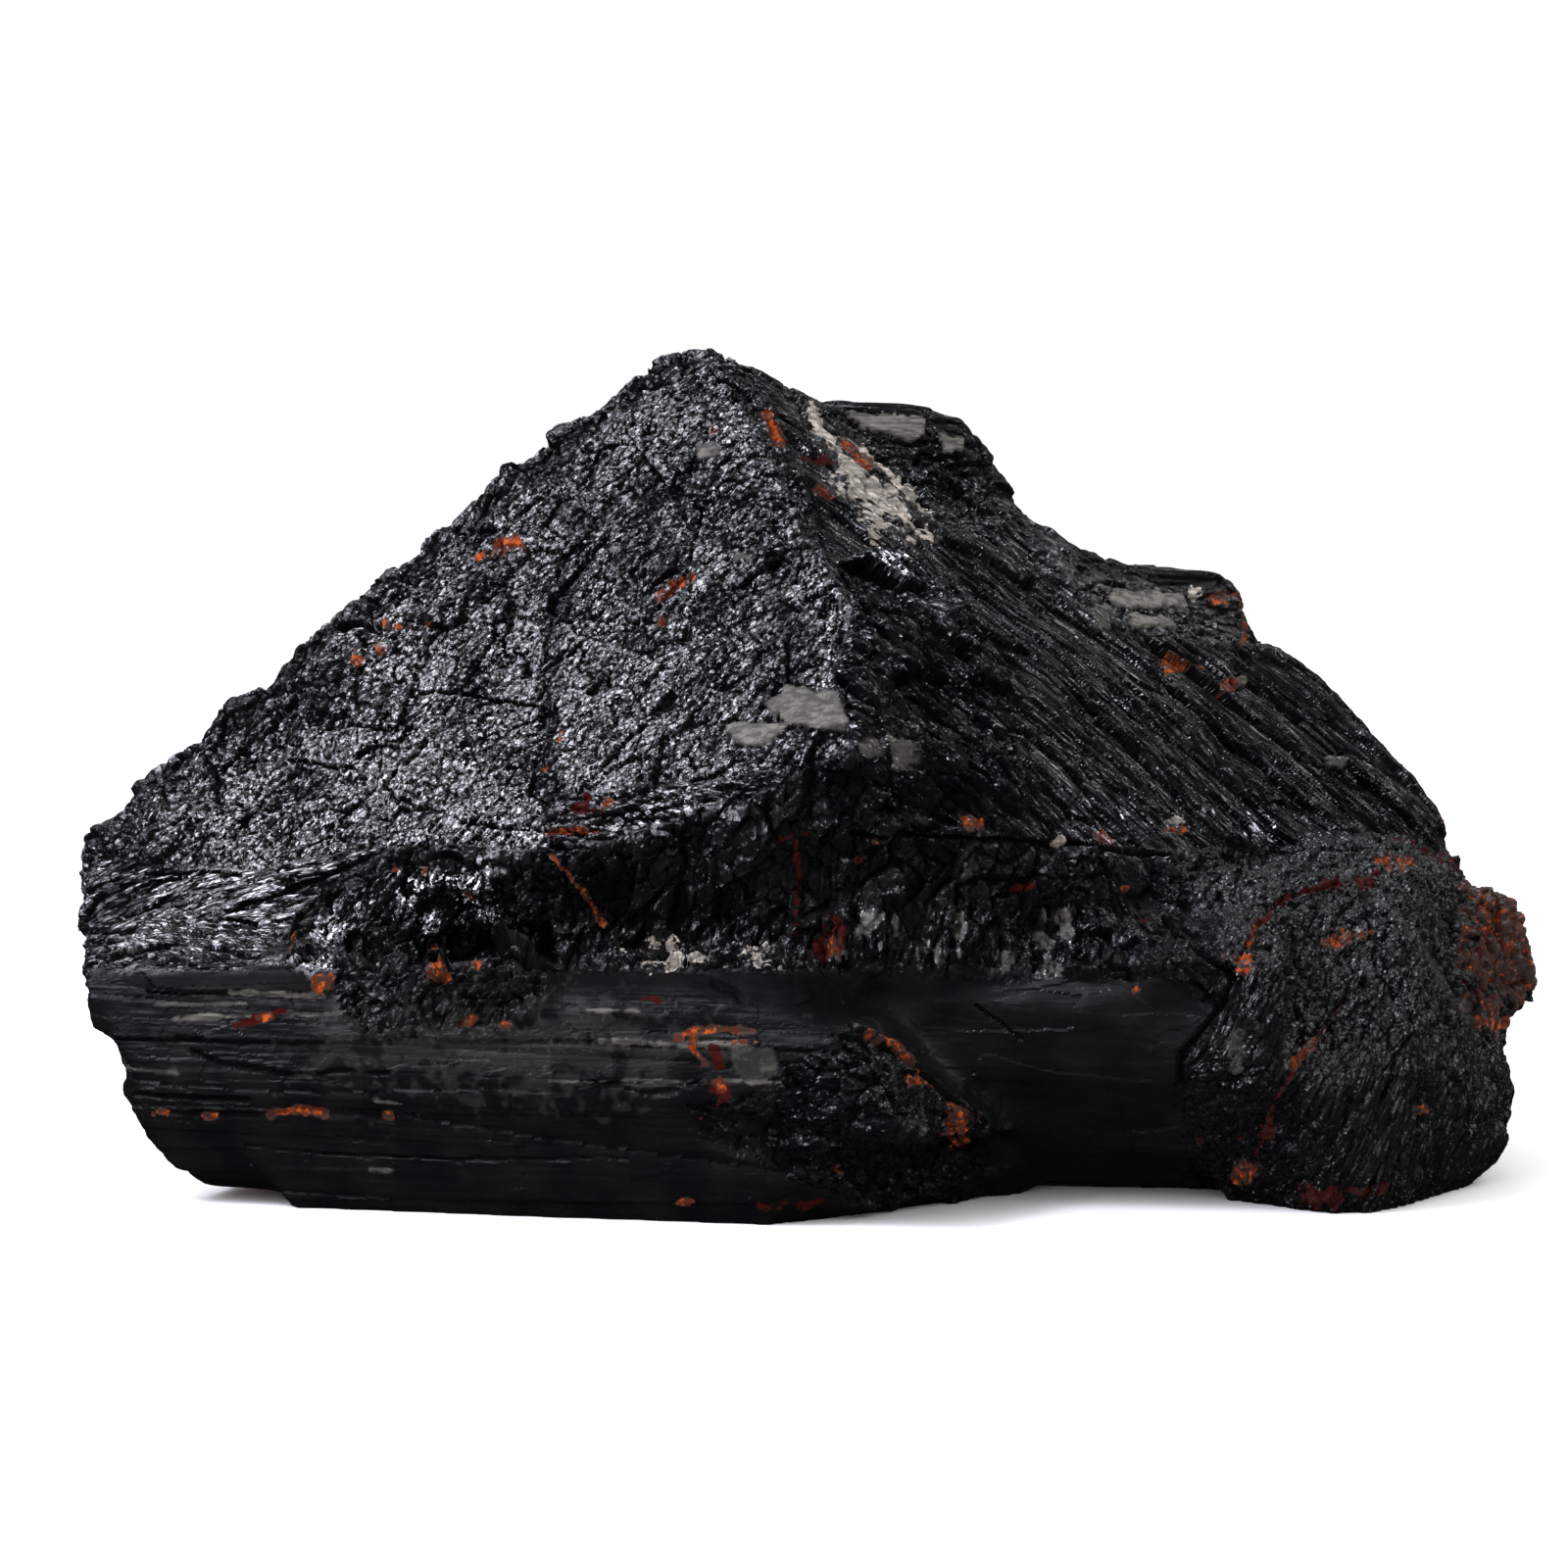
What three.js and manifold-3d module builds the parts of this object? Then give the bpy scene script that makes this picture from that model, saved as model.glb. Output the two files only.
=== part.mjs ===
// Black tourmaline (schorl): a rough chunk of parallel crystals grown into each other, as one solid.
// Millimetres, +Z up, X along the crystals, Y from the front face to the back.
import * as THREE from 'three';
import { ConvexGeometry } from 'three/addons/geometries/ConvexGeometry.js';
import { MeshSurfaceSampler } from 'three/addons/math/MeshSurfaceSampler.js';
import { mergeVertices } from 'three/addons/utils/BufferGeometryUtils.js';
import Module from 'manifold-3d';

const wasm = await Module();
wasm.setup();

// ---- Driving dimensions -------------------------------------------------------------------------

const SUMMIT = [-13, 3, 107]; // where the two broken faces of the wedge meet the crest
const RIDGE_SHOULDER = [4, -26, 75]; // the proudest point of the ridge between them
const RIDGE_FOOT = [6, -38, 57]; // its lower end
const PRISM_LEFT = -93; // left end of the long front prism
const PRISM_RIGHT = 24; // its broken right end
const PRISM_TURN = -12; // degrees about the upright line: its left end runs back
const PRISM_PIVOT = [10, -30, 0]; // the point it is turned about
const PRISM_TOP = 33; // height of its upper ledge
const PRISM_FRONT = -50; // how far it stands forward
const BACK = 56; // furthest point of the back crystals
const RELIEF_REACH = 1.4; // how far chips and ledges may stand out of the main forms
const SEED = 1644;

// ---- Random numbers that repeat -----------------------------------------------------------------

function randomSource(seed) {
  let state = seed >>> 0;
  return function next() {
    state = (state + 0x6d2b79f5) >>> 0;
    let mixed = Math.imul(state ^ (state >>> 15), 1 | state);
    mixed = (mixed + Math.imul(mixed ^ (mixed >>> 7), 61 | mixed)) ^ mixed;
    return ((mixed ^ (mixed >>> 14)) >>> 0) / 4294967296;
  };
}

const random = randomSource(SEED);
const between = (low, high) => low + (high - low) * random();

// ---- Solids -------------------------------------------------------------------------------------

function solidFrom(geometry) {
  const bare = geometry.clone();
  bare.deleteAttribute('normal');
  bare.deleteAttribute('uv');
  const merged = mergeVertices(bare, 1e-4);
  return new wasm.Manifold(
    new wasm.Mesh({
      numProp: 3,
      vertProperties: new Float32Array(merged.attributes.position.array),
      triVerts: new Uint32Array(merged.index.array),
    }),
  );
}

// A crystal block: the convex solid on its corner points.
function block(corners) {
  return solidFrom(new ConvexGeometry(corners.map((corner) => new THREE.Vector3(...corner))));
}

// The same block grown on every side, as the limit that relief keeps inside.
function grownBlock(corners) {
  const shifts = [0, 1, 2].flatMap((axis) => [-RELIEF_REACH, RELIEF_REACH].map((shift) => [axis, shift]));
  return block(corners.flatMap((corner) => shifts.map(
    ([axis, shift]) => corner.map((value, i) => (i === axis ? value + shift : value)),
  )));
}

// A point turned about a pivot: first up or down along X, then round the upright line.
function turned(corner, pitchDegrees, turnDegrees, pivot) {
  return new THREE.Vector3(...corner)
    .sub(new THREE.Vector3(...pivot))
    .applyAxisAngle(new THREE.Vector3(0, -1, 0), THREE.MathUtils.degToRad(pitchDegrees))
    .applyAxisAngle(new THREE.Vector3(0, 0, 1), THREE.MathUtils.degToRad(turnDegrees))
    .add(new THREE.Vector3(...pivot))
    .toArray();
}

// The corners of a long crystal: a [y, z] section carried from the left end to the right end, then
// turned about a pivot: pitch lifts its right end, and turn takes it back. Each end leans about the
// section's middle, in x for each millimetre of y and of z.
function crystal({
  left, right, section, leanLeft = [0, 0], leanRight = [0, 0], pitch = 0, turn = 0, pivot = [0, 0, 0],
}) {
  const middleY = section.reduce((sum, [y]) => sum + y, 0) / section.length;
  const middleZ = section.reduce((sum, [, z]) => sum + z, 0) / section.length;
  const corners = [];
  for (const [y, z] of section) {
    const atLeft = left + leanLeft[0] * (y - middleY) + leanLeft[1] * (z - middleZ);
    const atRight = right + leanRight[0] * (y - middleY) + leanRight[1] * (z - middleZ);
    corners.push(turned([atLeft, y, z], pitch, turn, pivot));
    corners.push(turned([atRight, y, z], pitch, turn, pivot));
  }
  return corners;
}

function joined(solids) {
  return solids.reduce((whole, solid) => whole.add(solid));
}

// ---- Main forms ---------------------------------------------------------------------------------
// Each function gives the corner points of one or more convex blocks, as [x, y, z].

// The massive middle that every crystal grows out of.
function massiveMiddle() {
  return [[
    [-70, -22, 6], [66, -14, 6], [-70, 30, 6], [66, 30, 6],
    [-66, -14, 28], [62, -14, 36], [-66, 0, 44], [62, 0, 44], [-60, 30, 46], [56, 30, 50],
    [-30, 10, 76], [24, 10, 76],
  ]];
}

// The left half of the wedge: one steep broken face that looks left, up and forward.
function leftWedge() {
  return [[
    SUMMIT,
    [-8, 9, 103],
    [-19, 4, 105],
    [-27, 5, 100],
    [-38, 6, 91],
    [-49, 5, 81],
    [-61, 4, 70],
    [-73, 4, 60],
    [-91, 4, 46],
    [-94, 2, 41],
    [-94, -7, 27],
    [-92, -10, 22],
    [-71, -18, 28],
    RIDGE_SHOULDER,
    RIDGE_FOOT,
    [6, -34, 38],
    [-20, -22, 30],
    [-86, 16, 28],
    [-68, 26, 48],
    [-26, 30, 82],
    [-6, 30, 88],
    [0, 36, 20],
    [-78, 20, 16],
    [-80, -4, 18],
  ]];
}

// The right half: a splintery face that looks right, up and forward.
function rightSlope() {
  return [[
    SUMMIT,
    [-8, 8, 103],
    [-3, 8, 101],
    [23, 6, 84],
    [32, 9, 76],
    [65, 15, 66],
    [70, 13, 61.8],
    [79.5, 12, 52.8],
    [85.5, 8, 44],
    [64, -9, 43],
    [47, -21, 44],
    [30, -31, 45],
    [12, -38, 49],
    RIDGE_SHOULDER,
    RIDGE_FOOT,
    [10, -30, 36],
    [62, -4, 30],
    [84, 12, 26],
    [84, 26, 36],
    [58, 40, 54],
    [-2, 30, 82],
    [0, 40, 20],
    [78, 30, 18],
  ]];
}

// Two flat-topped crystals whose ends stand out of the crest, one behind the other.
function crestCrystals() {
  const upper = [
    [-3, 6, 100],
    [16, 7, 99],
    [21, 8, 97],
    [25, 9, 92],
    [29, 11, 84],
    [24, 8, 78],
    [-4, 4, 84],
    [-5, 32, 98],
    [13, 36, 97],
    [22, 37, 90],
    [28, 36, 76],
    [-4, 36, 78],
  ];
  const lower = [
    [33, 9, 79],
    [55, 11, 77],
    [58, 12, 75],
    [59, 13, 68],
    [34, 8, 64],
    [33, 36, 75],
    [52, 40, 74],
    [57, 41, 70],
    [58, 40, 60],
    [32, 40, 58],
  ];
  return [upper, lower];
}

// The long front prism: ledges stacked one under the other, each ending a little further in.
// It runs back towards its left end, and its right end is broken off on a slant.
function frontPrism() {
  const top = PRISM_TOP;
  const front = PRISM_FRONT;
  const ledge = (left, right, section, leanLeft, leanRight) =>
    crystal({ left, right, section, leanLeft, leanRight, turn: PRISM_TURN, pivot: PRISM_PIVOT });
  return [
    ledge(
      PRISM_LEFT + 7.5, PRISM_RIGHT - 14,
      [
        [-12, top - 1], [-32, top], [front + 6, top - 2], [front + 2, top - 7], [front + 3, top - 13],
        [-12, top - 13],
      ],
      [0.25, -0.2], [0.5, -0.9],
    ),
    ledge(
      PRISM_LEFT + 12.5, PRISM_RIGHT - 6,
      [[-10, 25], [front + 2, 25], [front, 21], [front - 1, 16], [front + 1, 11], [-10, 8]],
      [0.2, -0.6], [0.4, -0.7],
    ),
    ledge(
      PRISM_LEFT + 14.5, PRISM_RIGHT - 9,
      [[-8, 15], [front, 15], [front + 1, 9], [front + 3, 4], [front + 8, 1], [-8, 2]],
      [0.1, -0.55], [0.7, -0.2],
    ),
    ledge(
      PRISM_LEFT + 25, PRISM_RIGHT - 9,
      [[-6, 8], [front + 1, 7], [front + 2, 0], [-16, 0]],
      [-0.2, -0.6], [0.85, 0],
    ),
  ];
}

// The smooth prism set back behind the front one's broken end. Its lower faces run in underneath.
function setBackPrism() {
  return [crystal({
    left: -10,
    right: 60,
    section: [[-6, 38], [-26, 36], [-35, 32], [-38, 26], [-36, 18], [-26, 7], [-14, 0], [12, 0], [14, 36]],
    turn: -9,
    pivot: [24, -30, 0],
  })];
}

// The fibrous lobe at the right end, and the small rusty lump on its shoulder.
function rightLobe() {
  const lobe = [
    [54, -24, 38],
    [61, -22, 41],
    [66, -14, 44],
    [76, -10, 44],
    [84, -4, 40],
    [88, -6, 30],
    [90.2, -6, 18],
    [92, -8, 11],
    [91, -12, 4],
    [86, -16, 0],
    [72, -36, 0],
    [65, -37, 0],
    [53, -27, 0],
    [49, -32, 14],
    [50, -33, 26],
    [62, -41, 16],
    [76, -34, 20],
    [76, -24, 35],
    [60, 14, 44],
    [86, 16, 40],
    [90, 14, 18],
    [84, 8, 0],
    [60, 14, 0],
  ];
  const lump = [
    [85, -4, 38],
    [90, -3, 37],
    [94, -1, 32],
    [96, 0, 25],
    [95, -1, 21],
    [91, -3, 18],
    [84, -8, 20],
    [88, -7, 28],
    [86, 8, 36],
    [92, 7, 28],
    [88, 8, 20],
  ];
  return [lobe, lump];
}

// Broken blocks in the recess between the wedge and the front prism.
function recessBlocks() {
  return [
    [
      [-66, -15, 22], [-66, -13, 34], [-42, -18, 41], [-12, -27, 46], [-10, -31, 28], [-66, -20, 26],
      [-60, 10, 20], [-10, 10, 20],
    ],
    [
      [-14, -28, 46], [4, -34, 48], [30, -30, 45], [56, -20, 42], [54, -29, 26], [30, -35, 29], [8, -37, 30],
      [-12, -33, 28], [-10, 10, 24], [52, 10, 24],
    ],
    [
      [-60, -30, 32], [-56, -33.5, 29], [-51, -36, 25.5], [-44, -38, 25], [-36, -39.6, 26.5], [-31, -39.8, 30],
      [-33, -36, 34.5], [-45, -32, 35], [-57, -27, 34.5], [-57, -14, 30], [-34, -14, 30],
    ],
  ];
}

// Parallel crystals behind, of different lengths and not quite level, which the wedge has grown on.
function backCrystals() {
  return [
    crystal({
      left: -68,
      right: 60,
      section: [[-8, 0], [34, 0], [45, 5], [50, 17], [46, 29], [30, 36], [-8, 30]],
      leanLeft: [-0.35, 0.2],
      leanRight: [0.1, -0.3],
      turn: 4,
    }),
    crystal({
      left: -72,
      right: 66,
      section: [[10, 20], [46, 24], [BACK - 2, 34], [BACK, 44], [46, 56], [20, 60]],
      leanLeft: [-0.3, 0.8],
      leanRight: [0.2, -0.6],
      pitch: -2.5,
      turn: -3,
      pivot: [0, 40, 40],
    }),
    crystal({
      left: -42,
      right: 46,
      section: [[12, 46], [40, 48], [47, 58], [44, 69], [34, 75], [12, 74]],
      leanLeft: [-0.2, 0.9],
      leanRight: [0, -0.2],
      pitch: 0.5,
      turn: 3,
      pivot: [0, 30, 60],
    }),
    crystal({
      left: -26,
      right: 20,
      section: [[8, 70], [32, 68], [40, 78], [37, 90], [24, 96], [8, 97]],
      leanLeft: [-0.2, 0.5],
      leanRight: [0.1, 0],
      pitch: -2,
    }),
    crystal({
      left: 10,
      right: 80,
      section: [[4, 6], [28, 3], [40, 12], [42, 32], [30, 42], [6, 42]],
      leanRight: [-0.3, -0.3],
      turn: -4,
      pivot: [40, 0, 0],
    }),
    crystal({
      left: -78,
      right: -26,
      section: [[8, 12], [24, 10], [34, 20], [30, 34], [16, 42], [4, 38]],
      leanLeft: [0.5, 0.3],
      pitch: 14,
      turn: -8,
      pivot: [-60, 20, 26],
    }),
  ];
}

// ---- Hollows ------------------------------------------------------------------------------------

// A shell-shaped hollow is an ellipsoid taken away. Its sizes are half lengths along X, Y and Z.
function hollow(centre, halfLengths, turnDegrees) {
  const shape = new THREE.SphereGeometry(1, 9, 6);
  shape.scale(...halfLengths);
  shape.rotateY(THREE.MathUtils.degToRad(turnDegrees));
  shape.translate(...centre);
  return solidFrom(new ConvexGeometry(pointsOf(shape)));
}

function pointsOf(geometry) {
  const position = geometry.attributes.position;
  return Array.from(
    { length: position.count },
    (_, index) => new THREE.Vector3().fromBufferAttribute(position, index),
  );
}

function hollows() {
  return joined([
    hollow([-47, -28, 35], [19, 9, 8], 14),
    hollow([-25, -37, 38], [12, 9, 6], -14),
    hollow([46, -57, 27], [15, 20, 17], 0),
    hollow([21, -46, 58], [12, 15, 20], 24),
    hollow([32, -46, 38], [15, 14, 6], 4),
  ]);
}

// ---- Chips, laths and splinters -----------------------------------------------------------------

const PRISM_WAY = new THREE.Vector3(0.98, -0.19, 0); // along the front prism
const LEFT_FACE = new THREE.Vector3(-0.39, -0.78, 0.5).normalize(); // the way the left face looks
const RIGHT_FACE = new THREE.Vector3(0.46, -0.59, 0.66).normalize();

// Each kind of broken relief: where it lies, how many there are, and the sizes of one, in millimetres.
// way is the direction of its grain, and swing is how far one may turn away from it, in degrees.
const RELIEF = [
  {
    name: 'plates on the left face',
    count: 52,
    ridged: true,
    where: (p, n) => n.dot(LEFT_FACE) > 0.85 && p.z > 28,
    way: new THREE.Vector3(-0.78, -0.05, -0.6),
    swing: 24, length: [8, 20], width: [5, 12], proud: [0.15, 0.6], tilt: 3,
  },
  {
    name: 'splinters on the right face',
    count: 62,
    ridged: true,
    where: (p, n) => n.dot(RIGHT_FACE) > 0.6 && n.y < -0.2 && p.z > 42 && p.x > -6 && p.y < 14,
    way: new THREE.Vector3(0.78, -0.09, -0.62),
    swing: 9, length: [12, 34], width: [2.4, 5], proud: [0.4, 1.4], tilt: 4,
  },
  {
    name: 'teeth along the crest',
    count: 20,
    ridged: true,
    where: (p, n) => p.z > 44 && Math.abs(p.y - 5) < 5 && n.z > 0.2 && p.z > 104 - Math.abs(p.x + 13) * 0.8,
    way: new THREE.Vector3(1, 0, 0),
    swing: 180, length: [3, 7], width: [3, 5], proud: [0.4, 1.2], tilt: 25,
  },
  {
    name: 'laths on the front prism',
    count: 40,
    ridged: true,
    where: (p, n) => p.z < 33 && p.z > 2 && p.y < -22 && p.x < 6 && p.x > -84 && n.y < -0.3,
    way: PRISM_WAY,
    swing: 2, length: [14, 46], width: [1.6, 3.4], proud: [0.25, 0.8], tilt: 5,
  },
  {
    name: 'broken right end of the front prism',
    count: 9,
    ridged: true,
    where: (p, n) => p.z < 26 && p.z > 2 && p.y < -20 && p.x > 0 && p.x < 30 && n.x > 0.1,
    way: PRISM_WAY,
    swing: 60, length: [4, 9], width: [3, 6], proud: [0.5, 1.6], tilt: 25,
  },
  {
    name: 'stepped left end',
    count: 9,
    ridged: true,
    where: (p, n) => p.x < -78 && n.x < -0.4 && p.z > 2,
    way: PRISM_WAY,
    swing: 30, length: [4, 9], width: [3, 5], proud: [0.4, 1.4], tilt: 15,
  },
  {
    name: 'blocks in the recess',
    count: 22,
    ridged: false,
    where: (p, n) => p.z > 31 && p.z < 50 && p.y < -16 && p.x > -62 && p.x < 56 && n.y < 0,
    way: new THREE.Vector3(1, 0, 0),
    swing: 90, length: [5, 11], width: [4, 8], proud: [0.4, 1.4], tilt: 16,
  },
  {
    name: 'fibres of the right lobe',
    count: 24,
    ridged: true,
    where: (p, n) => p.x > 50 && p.x < 88 && p.y < 4 && p.z < 42 && p.z > 2 && n.y < 0.2,
    way: new THREE.Vector3(-0.45, 0, -0.9),
    swing: 16, length: [7, 18], width: [2, 4], proud: [0.3, 0.9], tilt: 6,
  },
  {
    name: 'grains of the rusty lump',
    count: 8,
    ridged: true,
    where: (p, n) => p.x > 88 && p.z > 18 && n.x > 0,
    way: new THREE.Vector3(0, 0, 1),
    swing: 180, length: [2, 4], width: [2, 3], proud: [0.2, 0.7], tilt: 30,
  },
  {
    name: 'steps on the crest crystals',
    count: 14,
    ridged: true,
    where: (p, n) => p.x > 2 && p.y > 7 && p.z > 66 && n.z > -0.2,
    way: new THREE.Vector3(1, 0.1, -0.1),
    swing: 8, length: [6, 14], width: [2, 5], proud: [0.3, 0.8], tilt: 4,
  },
  {
    name: 'laths on the back crystals',
    count: 44,
    ridged: true,
    where: (p, n) => p.y > 14 && p.z > 3 && Math.abs(n.x) < 0.6 && n.z > -0.6,
    way: new THREE.Vector3(1, 0, 0),
    swing: 4, length: [14, 44], width: [3, 6], proud: [0.4, 1.3], tilt: 6,
  },
  {
    name: 'broken ends of the back crystals',
    count: 16,
    ridged: true,
    where: (p, n) => p.y > 6 && p.z > 3 && Math.abs(n.x) >= 0.6,
    way: new THREE.Vector3(1, 0, 0),
    swing: 90, length: [4, 11], width: [3, 7], proud: [0.5, 1.8], tilt: 20,
  },
];
const CHIP_ROOT = 0.9; // how deep a chip is rooted under the face it stands on
const CHIP_OVERHANG = 0.3; // cubic millimetres of one that may reach past the grown blocks

// One chip, rooted in the face it stands on. Its length follows the grain, and its four sides lean in
// by different amounts. A ridged chip narrows to one edge, which leaves a broad face and a steep one.
function chip(point, normal, kind) {
  const degrees = THREE.MathUtils.degToRad;
  const tiltAxis = new THREE.Vector3(between(-1, 1), between(-1, 1), between(-1, 1)).normalize();
  const out = normal.clone().applyAxisAngle(tiltAxis, degrees(between(-kind.tilt, kind.tilt)));
  const along = kind.way.clone().projectOnPlane(out).normalize();
  along.applyAxisAngle(out, degrees(between(-kind.swing, kind.swing)));
  const across = new THREE.Vector3().crossVectors(out, along);
  const halfLength = between(...kind.length) / 2;
  const halfWidth = between(...kind.width) / 2;
  const proud = between(...kind.proud);
  const place = (lengthwise, crosswise, height) => point.clone()
    .addScaledVector(along, lengthwise * halfLength)
    .addScaledVector(across, crosswise * halfWidth)
    .addScaledVector(out, height);
  const edge = between(0.2, 0.85) * (random() < 0.5 ? -1 : 1);
  const sides = kind.ridged ? [edge] : [between(-0.95, -0.6), between(0.6, 0.95)];
  const corners = [];
  for (const end of [-1, 1]) {
    corners.push(place(end * between(0.45, 1), -1, -CHIP_ROOT), place(end * between(0.45, 1), 1, -CHIP_ROOT));
    const inset = between(0.5, 0.95);
    for (const side of sides) {
      corners.push(place(end * inset, side, proud));
    }
  }
  return solidFrom(new ConvexGeometry(corners));
}

// Chips of one kind, scattered by area over the faces of the stone where that kind is found.
// One that would stick out past an edge of the grown blocks is left off.
function chipsOn(mesh, grown, kind) {
  const sampler = new MeshSurfaceSampler(mesh).setRandomGenerator(random).build();
  const point = new THREE.Vector3();
  const normal = new THREE.Vector3();
  const chips = [];
  while (chips.length < kind.count) {
    sampler.sample(point, normal);
    if (kind.where(point, normal)) {
      const candidate = chip(point, normal, kind);
      if (candidate.subtract(grown).volume() < CHIP_OVERHANG) {
        chips.push(candidate);
      }
    }
  }
  return joined(chips);
}

// ---- The part -----------------------------------------------------------------------------------

const BLOCKS = [
  ...massiveMiddle(),
  ...leftWedge(),
  ...rightSlope(),
  ...crestCrystals(),
  ...frontPrism(),
  ...setBackPrism(),
  ...rightLobe(),
  ...recessBlocks(),
  ...backCrystals(),
];

// The underside is level wherever the stone rests.
function levelled(solid) {
  const reach = 200;
  const below = block([
    [-reach, -reach, -reach], [reach, -reach, -reach], [-reach, reach, -reach], [reach, reach, -reach],
    [-reach, -reach, 0], [reach, -reach, 0], [-reach, reach, 0], [reach, reach, 0],
  ]);
  return solid.subtract(below);
}

// Crystals that lean on each other can close off a pocket: the stone is massive, so only its skin is kept.
function withoutPockets(solid) {
  return solid.decompose().reduce((largest, piece) => (piece.volume() > largest.volume() ? piece : largest));
}

function meshFrom(solid, name, material) {
  const made = solid.getMesh();
  const indexed = new THREE.BufferGeometry();
  indexed.setAttribute('position', new THREE.BufferAttribute(new Float32Array(made.vertProperties), 3));
  indexed.setIndex(new THREE.BufferAttribute(new Uint32Array(made.triVerts), 1));
  const geometry = indexed.toNonIndexed();
  geometry.computeVertexNormals();
  const mesh = new THREE.Mesh(geometry, material);
  mesh.name = name;
  return mesh;
}

// The origin is the middle of the bounding box, at the level the stone rests on.
function centred(mesh) {
  const box = new THREE.Box3().setFromObject(mesh);
  const middle = box.getCenter(new THREE.Vector3());
  mesh.position.set(-middle.x, -middle.y, -box.min.z);
  return mesh;
}

const schorl = new THREE.MeshStandardMaterial({ color: 0x1c1c20, roughness: 0.38, metalness: 0 });

const forms = joined(BLOCKS.map(block)).subtract(hollows());
const formsMesh = meshFrom(forms, 'forms', schorl);
const grown = joined(BLOCKS.map(grownBlock));
const relief = joined(RELIEF.map((kind) => chipsOn(formsMesh, grown, kind)));
const stone = withoutPockets(levelled(forms.add(relief)));

const part = new THREE.Group();
part.add(centred(meshFrom(stone, 'black_tourmaline', schorl)));

export default part;
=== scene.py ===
"""Black tourmaline: a rough chunk of parallel crystals grown into each other.

The stone is one solid. Its skin comes from the frame's solid and is worked out in
millimetres with numpy: every zone of the skin (broken faces, striated crystals, shelly
breaks, the granular lump) has its own layers of facets, and the zones together make one
closed surface, kept as a few wedge-shaped pieces that all reach into the stone's middle.
"""

import logging
import math
from dataclasses import dataclass, field
from enum import Enum, IntEnum

import bmesh
import bpy
import numpy as np
from mathutils import Matrix, Vector


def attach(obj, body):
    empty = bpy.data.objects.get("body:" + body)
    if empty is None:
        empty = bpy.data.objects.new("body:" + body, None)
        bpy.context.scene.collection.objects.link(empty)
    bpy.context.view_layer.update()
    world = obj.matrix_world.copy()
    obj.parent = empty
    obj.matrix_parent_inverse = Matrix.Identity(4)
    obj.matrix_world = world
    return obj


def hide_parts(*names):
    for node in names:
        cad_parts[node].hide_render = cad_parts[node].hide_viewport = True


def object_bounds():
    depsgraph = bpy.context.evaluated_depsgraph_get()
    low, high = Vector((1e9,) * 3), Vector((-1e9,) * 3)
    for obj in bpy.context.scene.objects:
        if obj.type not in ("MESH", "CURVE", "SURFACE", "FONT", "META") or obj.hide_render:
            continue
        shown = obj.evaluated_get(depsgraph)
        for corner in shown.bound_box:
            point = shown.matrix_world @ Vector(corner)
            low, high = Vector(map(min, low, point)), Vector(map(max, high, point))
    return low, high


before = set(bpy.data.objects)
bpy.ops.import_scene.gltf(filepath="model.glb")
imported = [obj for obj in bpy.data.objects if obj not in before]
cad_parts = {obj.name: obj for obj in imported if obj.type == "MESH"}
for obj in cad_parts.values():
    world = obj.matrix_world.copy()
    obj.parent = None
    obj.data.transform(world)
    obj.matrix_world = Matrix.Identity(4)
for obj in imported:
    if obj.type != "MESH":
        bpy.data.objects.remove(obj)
CAD_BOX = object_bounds()

Array = np.ndarray
Window = tuple[Array, Array]
Socket = bpy.types.NodeSocket
Triple = tuple[float, float, float]
Colour = tuple[float, float, float, float]
Line = tuple[tuple[float, float], ...]

LOG = logging.getLogger("black_tourmaline")
NODE = "black_tourmaline"
BODY = "root"
MM = 0.001
TINY = 1e-9
FAR = 1e9

# Directions of fibres, striations and faces, as x to the right, y backwards and z up.
FACE_LEFT = (-0.39, -0.78, 0.50)
FACE_RIGHT = (0.46, -0.59, 0.66)
SPLINTER = (0.78, -0.09, -0.62)
PRISM_AXIS = (0.978, -0.208, 0.0)
PRISM_OUT = (-0.2, -0.97, 0.1)
CRYSTAL_AXIS = (1.0, 0.0, 0.0)
CREST_OUT = (0.0, -0.9, 0.4)
BREAK_FIBRE = (0.3, 0.0, 0.95)
BREAK_OUT = (0.0, -1.0, 0.1)
LOBE_FIBRE = (-0.45, -0.1, -0.89)
LEFT_FIBRE = (0.62, 0.0, 0.62)
LEFT_STREAK = (0.92, -0.25, 0.30)


# ---- numbers that repeat -------------------------------------------------------------------------


class Seed(IntEnum):
    """Where each pattern's random numbers start."""

    ROUGH = 31
    SPECK = 33
    LEAN = 43
    SHINE = 44
    RUST = 51
    STAIN_DETAIL = 61
    DARK_RED = 71
    WANDER = 77
    RAGGED = 78
    SWELL = 80
    WARP = 90
    PALE = 91
    ZONES = 1000


# From one zone to the next, and from one layer of a zone to the next.
ZONE_SEEDS = 50
LAYER_SEEDS = 7


def placed(name: str, data: bpy.types.ID) -> bpy.types.Object:
    """Makes an object and puts it in the scene.

    Args:
        name: The object's name.
        data: The mesh, lamp or camera that it shows.

    Returns:
        The object.
    """
    thing = bpy.data.objects.new(name, data)
    bpy.context.scene.collection.objects.link(thing)
    return thing


def mixed(value: Array) -> Array:
    """Scrambles unsigned 32-bit numbers by shifts and odd multiples, so near ones part company.

    Args:
        value: The numbers.

    Returns:
        As many others; equal numbers stay equal.
    """
    value = value ^ (value >> np.uint32(16))
    value = value * np.uint32(0x7FEB352D)
    value = value ^ (value >> np.uint32(15))
    value = value * np.uint32(0x846CA68B)
    return value ^ (value >> np.uint32(16))


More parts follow.
